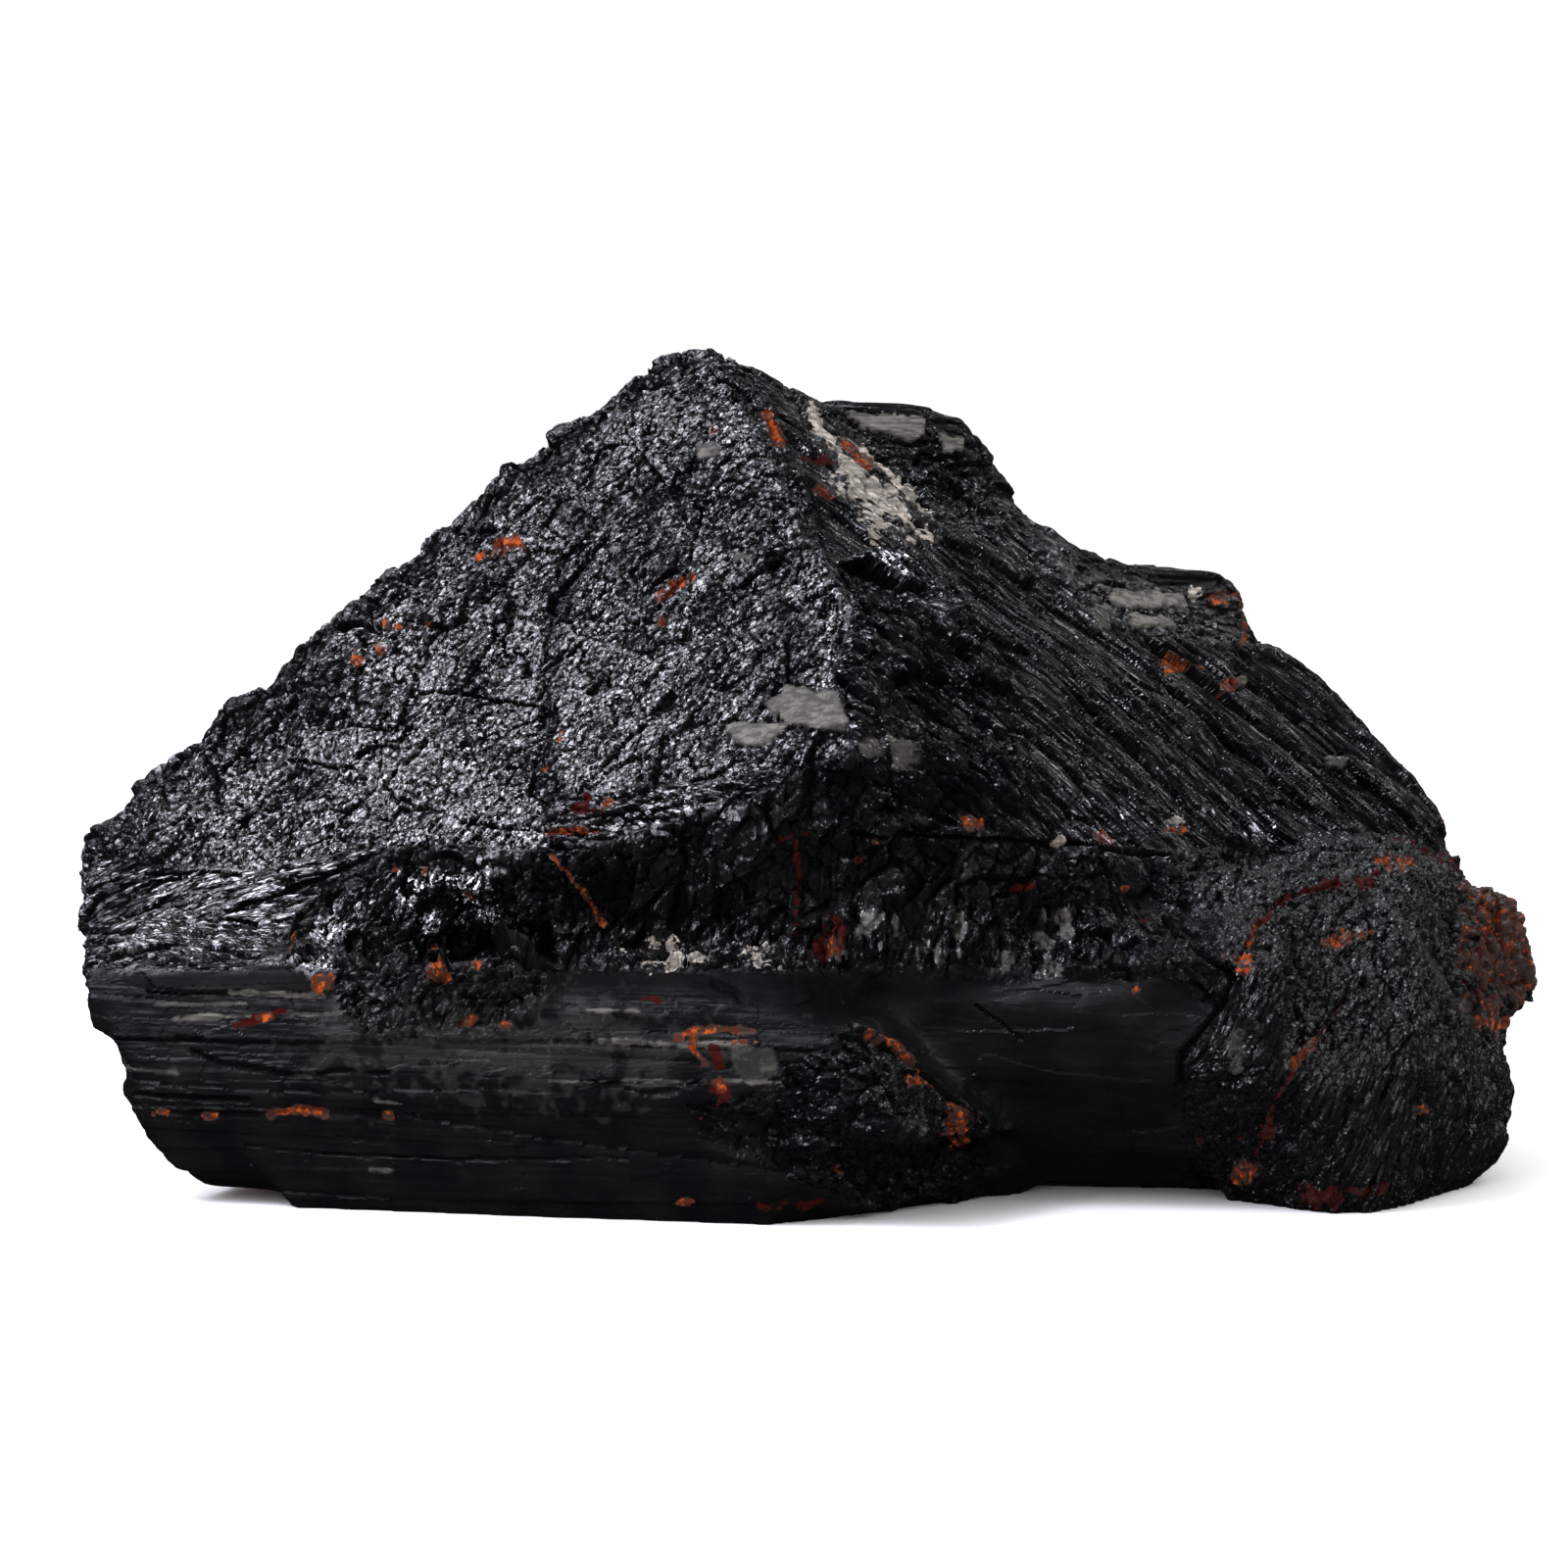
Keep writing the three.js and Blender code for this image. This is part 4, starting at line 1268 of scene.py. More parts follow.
# Middle across and down, half-widths, then turn and strength where they aren't 0 and 1.
BLOTS: dict[Stain, tuple[tuple[float, ...], ...]] = {
    Stain.RUST: (
        (522, 558, 15, 8, -10), (488, 567, 5, 4), (407, 640, 8, 4), (437, 640, 6, 4), (388, 661, 5, 5),
        (370, 675, 11, 5, -20), (672, 634, 5, 6), (556, 782, 4, 5), (571, 750, 4, 6), (728, 438, 5, 4),
        (795, 456, 5, 5), (618, 818, 6, 6), (400, 887, 5, 4), (434, 890, 5, 4), (478, 915, 5, 5),
        (444, 967, 5, 6), (447, 994, 9, 6, 0, 0.8), (484, 983, 5, 4), (331, 1003, 9, 9),
        (270, 1038, 7, 4), (480, 1042, 7, 5), (513, 1046, 8, 5), (76, 1030, 9, 13), (168, 1134, 8, 4),
        (215, 1138, 8, 3), (396, 1138, 6, 3), (760, 1064, 14, 3), (734, 1104, 6, 8, 0, 0.6),
        (713, 1144, 7, 4), (697, 1227, 9, 4), (856, 1196, 5, 4), (893, 1052, 6, 5), (935, 1098, 8, 8),
        (974, 1154, 12, 15, 20, 0.6), (848, 968, 6, 10, 10, 0.8), (879, 878, 10, 9), (892, 858, 6, 5),
        (990, 841, 12, 8, -25), (1127, 852, 18, 7), (1203, 846, 13, 5), (1153, 903, 5, 4),
        (1158, 1010, 5, 4), (1197, 675, 13, 10), (1252, 698, 9, 8), (1228, 680, 6, 4),
        (1264, 980, 11, 10), (1373, 955, 22, 8, -15), (1425, 882, 15, 11), (1368, 1025, 8, 5),
        (1272, 1198, 13, 13), (1452, 1133, 6, 4), (1541, 985, 38, 66, 0, 0.3), (1530, 935, 20, 14),
        (1530, 1042, 20, 9), (1562, 975, 8, 18), (1242, 612, 10, 9),
    ),
    Stain.DARK_RED: (
        (592, 828, 15, 13), (664, 1020, 12, 4), (733, 1114, 11, 15), (810, 1229, 44, 5, -3, 0.5),
        (974, 1154, 14, 18, 20), (846, 962, 11, 20, 15), (1045, 905, 12, 8), (1167, 935, 7, 5),
        (1395, 895, 22, 9), (1293, 1152, 8, 8), (1225, 1162, 7, 4), (1264, 1163, 7, 3),
        (1345, 1218, 17, 10), (1400, 1215, 20, 6), (1512, 985, 20, 50, 0, 0.6),
    ),
    # Pale cleavage, partly painted sheen, across the front prism and by the lobe.
    Stain.PALE: (
        (520, 1070, 200, 50, 0, 0.24), (1257, 1065, 22, 24, 30, 0.4),
    ),
    Stain.CREAM: (
        (1368, 1155, 6, 4, 0, 0.5), (1222, 604, 11, 7, 10, 0.8), (1240, 638, 4, 5),
        (892, 507, 46, 24, 40), (940, 538, 28, 9, 40, 0.8), (684, 974, 36, 14, 2),
        (774, 976, 14, 15, 0, 0.9), (797, 985, 10, 4), (1082, 857, 6, 4), (1203, 836, 8, 4),
    ),
    # Painted highlights, mostly on the left face and in the hollow under it.
    Stain.GLINT: (
        (455, 765, 150, 92, -18, 0.85), (660, 735, 70, 70, 0, 0.66), (330, 820, 70, 40, 0, 0.85),
        (510, 850, 60, 18, 0, 0.7), (250, 905, 60, 12, 10, 0.8), (912, 584, 17, 20, 0, 1.3),
        (851, 628, 14, 28, 0, 1.25), (1287, 842, 16, 16, 0, 1.4), (717, 821, 18, 9), (751, 832, 12, 5),
        (675, 852, 16, 4), (460, 906, 54, 20, -8, 2), (498, 932, 26, 10, -20, 1.6),
        (335, 955, 18, 38, 40, 1.35), (435, 944, 12, 8, 0, 1.8), (1135, 842, 80, 24, 4, 0.7),
        (225, 940, 70, 20, 0, 0.9), (640, 800, 60, 26, -10, 0.7), (150, 860, 50, 60, 0, 0.4),
    ),
    # Painted shade: broad darker patches, mostly on the left face and the prism.
    Stain.DULL: (
        (470, 1042, 120, 26, 0, 0.6), (600, 520, 40, 30, 0, 0.3), (250, 760, 90, 34, -35, 0.5),
        (775, 550, 34, 70, 0, 0.4), (620, 600, 60, 40, 0, 0.35), (830, 800, 60, 30, 0, 0.6),
        (950, 730, 60, 110, 0, 0.5), (160, 960, 60, 30, 0, 0.3), (245, 1030, 110, 26, 0, 0.6),
        (690, 500, 46, 22, -30, 0.5), (735, 615, 34, 26, 0, 0.5), (640, 655, 42, 14, -20, 0.4),
        (565, 478, 38, 14, -38, 0.45), (470, 560, 40, 13, -38, 0.45), (335, 705, 52, 14, -35, 0.45),
        (700, 400, 26, 18, 0, 0.4), (815, 655, 16, 34, 0, 0.5), (170, 930, 60, 10, 5, 0.5),
        (500, 600, 90, 40, -30, 0.3), (470, 905, 90, 40, 0, 0.2), (886, 612, 15, 12),
        (932, 630, 20, 15), (946, 674, 25, 22), (985, 800, 80, 34, 0, 0.5), (120, 870, 40, 60, 0, 0.3),
    ),
}

# Line and width, then strength where it isn't 1.
VEINS: dict[Stain, tuple[tuple[Line, float] | tuple[Line, float, float], ...]] = {
    Stain.RUST: (
        (((672, 608), (685, 598), (706, 588)), 5), (((780, 424), (783, 436), (790, 446)), 6),
        (((834, 497), (848, 508)), 2.6, 0.9), (((560, 848), (585, 846), (608, 848)), 3.2),
        (((562, 872), (575, 890), (590, 905), (600, 920), (615, 942)), 3.2),
        (((299, 958), (296, 974)), 3.5), (((276, 1136), (300, 1133), (330, 1138)), 5),
        (((690, 1062), (706, 1052), (735, 1050), (768, 1053)), 4.5, 0.9),
        (((706, 1054), (708, 1072), (720, 1085)), 4.5), (((898, 1058), (912, 1066), (926, 1077)), 3.5),
        (((926, 1077), (936, 1098), (955, 1112)), 4.5), (((955, 1112), (980, 1130), (998, 1140)), 4.5),
        (((1262, 980), (1272, 965), (1280, 950)), 4), (((1345, 1058), (1330, 1075), (1318, 1090)), 3.5),
        (((1262, 606), (1270, 620), (1271, 650)), 6), (((864, 450), (875, 462), (890, 474)), 7),
    ),
    Stain.DARK_RED: (
        (((820, 466), (838, 468), (852, 472)), 5), (((240, 1046), (262, 1040), (285, 1032)), 6),
        (((728, 1070), (734, 1090)), 6), (((812, 838), (812, 862), (812, 900), (810, 950)), 4, 0.75),
        (((796, 856), (828, 850)), 4, 0.7), (((1262, 980), (1280, 950), (1315, 915), (1365, 900)), 5),
        (((1372, 1020), (1330, 1075), (1300, 1125), (1293, 1152), (1280, 1180)), 3.2, 0.8),
    ),
    # Pale lines, partly cleavage and partly painted sheen, mostly on the front prism's striations.
    Stain.PALE: (
        (((640, 1062), (700, 1066), (766, 1066)), 3.2), (((1110, 590), (1190, 597)), 2.2, 0.6),
        (((235, 1012), (290, 1014), (330, 1016)), 2.6), (((178, 1040), (215, 1038), (255, 1037)), 3),
        (((160, 1026), (250, 1024)), 2.2, 0.7), (((300, 1035), (350, 1034)), 3, 0.6),
        (((600, 1031), (650, 1032)), 2.2), (((613, 1062), (660, 1065), (700, 1067)), 3.2),
        (((560, 1104), (640, 1103), (720, 1103)), 2.2, 0.7), (((740, 1103), (795, 1105)), 3, 0.8),
        (((385, 1124), (410, 1126)), 2, 0.8), (((378, 1193), (400, 1194)), 2.2, 0.8),
        (((125, 1090), (180, 1095)), 2.4, 0.5),
        (((1370, 885), (1430, 935), (1480, 1000), (1510, 1050)), 7, 0.35),
    ),
    Stain.CREAM: (
        (((830, 418), (846, 442), (862, 468)), 9),
        (((868, 448), (900, 476), (930, 506), (950, 528)), 5, 0.9),
    ),
    # Painted shade along the left face's rim, middle and ridge, the prism's top band and under the left
    # face.
    Stain.DULL: (
        (((700, 352), (640, 382), (560, 448), (480, 512), (400, 585), (310, 660), (200, 756),
          (90, 850)), 30, 0.75),
        (((562, 600), (558, 700), (560, 800), (575, 862)), 16, 0.6),
        (((760, 380), (800, 450), (828, 540)), 22, 0.6),
        (((120, 998), (600, 999), (1030, 998)), 11, 0.6),
        (((90, 985), (180, 978), (262, 980), (300, 955), (335, 905), (385, 878), (440, 872)), 11, 0.85),
    ),
}

# Chips of bare cleavage with painted sheen and a painted glint: middle across and down, half-widths and
# turn.
BRIGHT_CHIPS = (
    (887, 942, 12, 14, 20), (1063, 955, 10, 19, 25), (1090, 945, 12, 15, 10), (980, 950, 5, 18, 10),
)
DIM_CHIPS = (
    (1025, 982, 6, 16, 5), (1070, 983, 10, 9, 0), (938, 966, 4, 22, 0), (957, 972, 4, 16, 0),
    (1003, 976, 4, 16, 0), (857, 975, 5, 12, 0), (915, 940, 4, 16, 0),
)


def marked() -> tuple[Blot | Vein | Facet, ...]:
    """Every blot, vein, chip and facet; a chip is a pale blot and a painted glint in one place.

    Returns:
        Blots first, then veins, chips and facets.
    """
    marks = [Blot(stain, *row) for stain, rows in BLOTS.items() for row in rows]
    marks += [Vein(stain, *row) for stain, rows in VEINS.items() for row in rows]
    for rows, pale, glint in ((BRIGHT_CHIPS, 0.8, 2.0), (DIM_CHIPS, 0.55, 1.5)):
        marks += [Blot(Stain.PALE, *row, pale) for row in rows]
        marks += [Blot(Stain.GLINT, *row, glint) for row in rows]
    return (*marks, *FACETS)


@dataclass(frozen=True)
class Staining:
    """Works out how much of each stain every point carries.

    Attributes:
        sight: Which points the camera sees.
        marks: The stains, painted sheen, glints and shade on the camera's side.
        lump: The middle of the rusty lump, in millimetres.
        lump_reach: Half the lump's size, in millimetres.
    """

    sight: Sight
    marks: tuple[Blot | Vein | Facet, ...] = field(default_factory=marked)
    lump: Triple = (93.0, -6.0, 33.0)
    lump_reach: Triple = (8.0, 11.0, 11.0)

    def amounts(self, points: Array, normals: Array) -> Array:
        """One column a stain: the marks where the camera sees them, clouds elsewhere.

        Args:
            points: Places in millimetres on the skin before its relief.
            normals: Their slow normals.

        Returns:
            Amounts from 0, where 1 is a full stain.
        """
        pixels, shown = self.sight.seen(points, normals)
        shown_well = shown * eased(-normals[:, 1], 0.08, 0.3)
        rough = cloud(points, 1.6, Seed.ROUGH, 3) + 0.5 * cloud(points, 0.6, Seed.SPECK, 1)
        amounts = np.zeros((len(points), len(Stain)))

        def add(on: Array | slice, stain: Stain, found: Array) -> None:
            """Keeps the greater of what is there and what is found."""
            amounts[on, stain] = np.maximum(amounts[on, stain], found)

        for mark in self.marks:
            near = within(pixels, mark.window()) & (shown > 0.2)
            found = mark.strength * mark.amount(pixels[near, :2], rough[near]) * shown_well[near]
            add(near, mark.stain, found)
        hidden = 1.0 - shown
        everywhere = slice(None)
        fine = cloud(points, 4.0, Seed.STAIN_DETAIL, 3)
        rust = cloud(points, 16.0, Seed.RUST, 4) + 0.5 * fine
        dark = cloud(points, 20.0, Seed.DARK_RED, 4) + 0.4 * fine
        pale = cloud(points * (0.3, 1.0, 1.0), 5.0, Seed.PALE, 3)
        add(everywhere, Stain.RUST, eased(rust, 0.85, 1.05) * hidden)
        add(everywhere, Stain.DARK_RED, 0.8 * (eased(dark, 0.75, 1.0) * hidden))
        # Pale cleavage, partly painted sheen, in patches where the camera doesn't look.
        add(everywhere, Stain.PALE, 0.5 * (eased(pale, 0.75, 0.9) * hidden))
        reach = np.linalg.norm((points - self.lump) / self.lump_reach, axis=1) + 0.25 * rough
        add(everywhere, Stain.RUST, 0.38 * (1.0 - eased(reach, 0.85, 1.15)))
        return amounts


# ---- finish --------------------------------------------------------------------------------------


@dataclass
class Nodes:
    """A short way to place and join the nodes of one material."""

    tree: bpy.types.NodeTree

    def add(self, kind: str, **settings: object) -> bpy.types.Node:
        """Adds a node and sets its properties.

        Args:
            kind: The node's type.
            **settings: Its properties by name.

        Returns:
            The node.
        """
        node = self.tree.nodes.new(kind)
        for name, value in settings.items():
            setattr(node, name, value)
        return node

    def put(self, source: object, socket: Socket) -> None:
        """Joins a socket to another, or sets its value.

        Args:
            source: A socket to join, or a plain value.
            socket: The input that takes it.
        """
        if isinstance(source, Socket):
            self.tree.links.new(source, socket)
        else:
            socket.default_value = source

    def math(
        self, operation: str, first: object, second: object = 0.0, third: object = 0.0
    ) -> Socket:
        """One sum on numbers.

        Args:
            operation: The sum's name in Blender.
            first: A socket or a number.
            second: The same, for a sum that takes two.
            third: The same, for a sum that takes three.

        Returns:
            The sum's output.
        """
        node = self.add("ShaderNodeMath", operation=operation)
        for value, socket in zip((first, second, third), node.inputs, strict=True):
            self.put(value, socket)
        return node.outputs[0]

    def times(self, first: object, second: object) -> Socket:
        """One number times another."""
        return self.math("MULTIPLY", first, second)

    def scaled(self, value: object, factor: float, offset: object) -> Socket:
        """A number times a factor, plus an offset."""
        return self.math("MULTIPLY_ADD", value, factor, offset)

    def vector(self, operation: str, first: object, second: object = None) -> Socket:
        """One sum on vectors.

        Args:
            operation: The sum's name in Blender.
            first: A socket or a vector.
            second: The same, or a number as the factor of SCALE.

        Returns:
            The sum's output.
        """
        node = self.add("ShaderNodeVectorMath", operation=operation)
        self.put(first, node.inputs[0])
        if second is not None:
            self.put(second, node.inputs[3 if operation == "SCALE" else 1])
        return node.outputs[0]

    def blend(
        self, share: object, first: object, second: object, kind: str = "RGBA"
    ) -> Socket:
        """Mixes two colours, or two vectors where kind is VECTOR.

        Args:
            share: 0 gives the first, 1 the second.
            first: A socket, a colour or a vector.
            second: The same.
            kind: RGBA for colours, VECTOR for vectors.

        Returns:
            The mixture.
        """
        node = self.add("ShaderNodeMix", data_type=kind)
        start, out = {"RGBA": (6, 2), "VECTOR": (4, 1)}[kind]
        self.put(share, node.inputs[0])
        self.put(first, node.inputs[start])
        self.put(second, node.inputs[start + 1])
        return node.outputs[out]

    def noise(self, place: object, scale: float, detail: float = 3.0) -> Socket:
        """Uneven noise from 0 to 1.

        Args:
            place: The socket of the place.
            scale: Swells to one unit of place.
            detail: How many finer layers are added.

        Returns:
            The noise.
        """
        node = self.add("ShaderNodeTexNoise")
        self.put(place, node.inputs["Vector"])
        node.inputs["Scale"].default_value = scale
        node.inputs["Detail"].default_value = detail
        return node.outputs["Fac"]

    def cells(self, feature: str, place: object, scale: float) -> bpy.types.Node:
        """Cells round scattered seeds.

        Args:
            feature: What is measured, such as F1 for the nearest seed.
            place: The socket of the place.
            scale: Seeds to one unit of place.

        Returns:
            The node, which has several outputs.
        """
        node = self.add("ShaderNodeTexVoronoi", voronoi_dimensions="3D", feature=feature)
        self.put(place, node.inputs["Vector"])
        node.inputs["Scale"].default_value = scale
        return node

    def step(self, value: object, low: float, high: float) -> Socket:
        """Runs smoothly from 0 at low to 1 at high.

        Args:
            value: A socket or a number.
            low: Where it starts to rise.
            high: Where it is full.

        Returns:
            The step's output.
        """
        node = self.add("ShaderNodeMapRange", interpolation_type="SMOOTHSTEP")
        self.put(value, node.inputs[0])
        node.inputs[1].default_value, node.inputs[2].default_value = low, high
        return node.outputs[0]

    def parts(self, colour: object) -> tuple[Socket, ...]:
        """A colour's three numbers.

        Args:
            colour: A socket or a colour.

        Returns:
            Red, green and blue.
        """
        node = self.add("ShaderNodeSeparateColor")
        self.put(colour, node.inputs[0])
        return tuple(node.outputs)


@dataclass(frozen=True)
class SchorlFinish:
    """Black tourmaline with its stains and painted sheen: glassy black, each finest grain tilted its own
    way.

    Attributes:
        black: The stone's own colour.
        warm: The colour that it varies to.
        pale: Bare cleavage, lighter partly in its own colour and partly as painted sheen.
        cream: Chalky coating.
        rust: Iron oxide in thick patches.
        orange: Iron oxide where it is thin.
        dark_red: Iron oxide deep in cracks.
        brown: Earth stained by iron round the thicker oxide.
        index: Refractive index of tourmaline.
        stretch: Noise cells a metre along and across the fine lines on bare cleavage.
        grain_sizes: Scale and strength of the two sizes of tilted grains.
    """

    black: Colour = (0.0022, 0.0022, 0.0027, 1)
    warm: Colour = (0.0046, 0.0042, 0.0040, 1)
    pale: Colour = (0.125, 0.117, 0.104, 1)
    cream: Colour = (0.50, 0.44, 0.38, 1)
    rust: Colour = (0.072, 0.0115, 0.004, 1)
    orange: Colour = (0.36, 0.064, 0.011, 1)
    dark_red: Colour = (0.032, 0.003, 0.002, 1)
    brown: Colour = (0.038, 0.017, 0.012, 1)
    index: float = 1.635
    stretch: Triple = (90.0, 1400.0, 1900.0)
    grain_sizes: tuple[tuple[float, float], ...] = ((1.0, 1.0), (2.3, 0.7))

    def build(self) -> bpy.types.Material:
        """Makes the material, which reads the attributes grain, style and stain.

        Returns:
            The material.
        """
        material = bpy.data.materials.new("schorl")
        material.use_nodes = True
        tree = material.node_tree
        tree.nodes.clear()
        nodes = Nodes(tree)
        grain = nodes.add("ShaderNodeAttribute", attribute_name="grain").outputs["Vector"]
        style = nodes.add("ShaderNodeAttribute", attribute_name="style")
        stain = nodes.add("ShaderNodeAttribute", attribute_name="stain")
        hackle, lean, gloss = nodes.parts(style.outputs["Color"])
        rust, dark, pale = nodes.parts(stain.outputs["Color"])
        cream = stain.outputs["Alpha"]
        place = nodes.add("ShaderNodeTexCoord").outputs["Object"]
        blotch = nodes.noise(place, 160.0, 4.0)
        speck = nodes.noise(place, 1500.0, 2.0)
        normal = self.grains(nodes, grain, hackle, lean)
        coarse = nodes.noise(place, 520.0)
        both = nodes.math("SUBTRACT", nodes.math("ADD", speck, coarse), 1.0)
        edge = nodes.times(both, 1.8)

        def crisp(amount: object) -> Socket:
            """An amount with its edge broken up by specks, and nothing where there is none."""
            ragged = nodes.times(edge, nodes.step(amount, 0.02, 0.3))
            return nodes.step(nodes.math("ADD", amount, ragged), 0.42, 0.66)

        # The black stone, and the streaks and cracks that show on pale and cream places.
        colour = nodes.blend(nodes.step(blotch, 0.35, 0.7), self.black, self.warm)
        fine = nodes.step(nodes.noise(grain, 1.1), 0.25, 0.75)
        broad = nodes.step(nodes.noise(grain, 0.28), 0.3, 0.7)
        lines = nodes.noise(nodes.vector("MULTIPLY", place, self.stretch), 1.0, 4.0)
        lined = nodes.scaled(nodes.step(lines, 0.42, 0.58), 0.75, 0.25)
        streak = nodes.times(nodes.scaled(broad, 0.5, 0.5), lined)
        streak = nodes.times(streak, nodes.scaled(fine, 0.3, 0.7))
        cracks = nodes.cells("DISTANCE_TO_EDGE", grain, 0.42)
        whole = nodes.step(cracks.outputs["Distance"], 0.02, 0.13)
        crack = nodes.math("SUBTRACT", 1.0, whole)

        # Bare cleavage, pale partly in its own colour and partly as painted sheen, under a little veil
        # of its own colour that is partly dust and partly painted sheen.
        bare = nodes.step(nodes.scaled(edge, 0.45, pale), 0.3, 0.5)
        level = nodes.math("MINIMUM", nodes.math("MAXIMUM", pale, 0.3), 1.8)
        lit = nodes.times(level, nodes.scaled(streak, 0.95, 0.1))
        cleavage_and_sheen = nodes.times(bare, nodes.times(lit, nodes.scaled(whole, 0.3, 0.7)))
        dust_and_sheen = nodes.times(nodes.step(pale, 0.0, 0.5), 0.13)
        colour = nodes.blend(dust_and_sheen, colour, self.pale)
        colour = nodes.blend(cleavage_and_sheen, colour, self.pale)

        # Chalk that leaves gaps, then dark red, then thick rust in a brown halo.
        tint = nodes.blend(streak, self.pale, self.cream)
        split = nodes.step(nodes.noise(grain, 0.36), 0.37, 0.42)
        chalky = nodes.times(split, nodes.scaled(whole, 0.4, 0.6))
        colour = nodes.blend(nodes.times(crisp(cream), chalky), colour, tint)
        colour = nodes.blend(nodes.times(crisp(dark), 0.85), colour, self.dark_red)
        thin = nodes.step(nodes.noise(place, 900.0, 4.0), 0.44, 0.66)
        ochre = nodes.blend(thin, self.rust, self.orange)
        lace = nodes.step(nodes.noise(place, 1000.0), 0.42, 0.54)
        rusty = nodes.times(crisp(rust), lace)
        halo = nodes.step(nodes.scaled(edge, 0.12, rust), 0.1, 0.3)
        colour = nodes.blend(nodes.times(halo, 0.85), colour, self.brown)
        colour = nodes.blend(nodes.times(rusty, 0.9), colour, ochre)

        # Stained and bare places are rough, and glassy ones smooth.
        dull = nodes.math("MAXIMUM", rusty, nodes.math("MAXIMUM", crisp(dark), crisp(cream)))
        uneven = nodes.times(nodes.math("SUBTRACT", blotch, 0.5), 0.3)
        rough = nodes.math("ADD", nodes.scaled(gloss, -0.36, 0.52), uneven)
        rough = nodes.math("MAXIMUM", rough, nodes.times(dull, 0.8))
        rough = nodes.math("MAXIMUM", rough, nodes.times(bare, 0.55))

        # Stains, cracks and bare cleavage reflect less, bare cleavage because its sheen is painted in
        # its colour.
        # The style's shine also carries the painted glints and painted shade.
        shader = nodes.add("ShaderNodeBsdfPrincipled")
        clean = nodes.math("SUBTRACT", 1.0, nodes.times(dull, 0.75))
        crack = nodes.times(crack, nodes.step(hackle, 0.2, 0.6))
        clean = nodes.times(clean, nodes.scaled(crack, -0.85, 1.0))
        clean = nodes.times(clean, nodes.scaled(bare, -0.8, 1.0))
        shine = nodes.times(style.outputs["Alpha"], nodes.times(clean, 0.5))
        settings = {
            "Base Color": colour,
            "Roughness": rough,
            "Normal": normal,
            "IOR": self.index,
            "Specular IOR Level": shine,
        }
        for name, value in settings.items():
            nodes.put(value, shader.inputs[name])
        out = nodes.add("ShaderNodeOutputMaterial")
        nodes.put(shader.outputs[0], out.inputs["Surface"])
        return material

    def grains(
        self, nodes: Nodes, grain: object, hackle: object, lean: object
    ) -> Socket:
        """The shading normal: the face's own, plus a random tilt for each grain of two sizes.

        Args:
            nodes: The material's nodes.
            grain: Place in grain widths.
            hackle: How strongly grains tilt.
            lean: Share of grains that lie parallel to the left face.

        Returns:
            The normal.
        """
        own = nodes.add("ShaderNodeNewGeometry").outputs["Normal"]
        tilt: object = None
        chosen: object = None
        for scale, strength in self.grain_sizes:
            seeds = nodes.cells("F1", grain, scale)
            centred = nodes.vector("SUBTRACT", seeds.outputs["Color"], (0.5, 0.5, 0.5))
            part = nodes.vector("SCALE", centred, strength)
            tilt = part if tilt is None else nodes.vector("ADD", tilt, part)
            if chosen is None:
                chosen = nodes.math("LESS_THAN", nodes.parts(seeds.outputs["Color"])[1], lean)
        tilted = nodes.vector("ADD", own, nodes.vector("SCALE", tilt, hackle))
        slight = nodes.vector("SCALE", nodes.vector("SCALE", tilt, hackle), 0.45)
        parallel = nodes.vector("ADD", FACE_LEFT, slight)
        mixed_way = nodes.blend(nodes.times(chosen, 0.75), tilted, parallel, "VECTOR")
        return nodes.vector("NORMALIZE", mixed_way)


# ---- the stone -----------------------------------------------------------------------------------


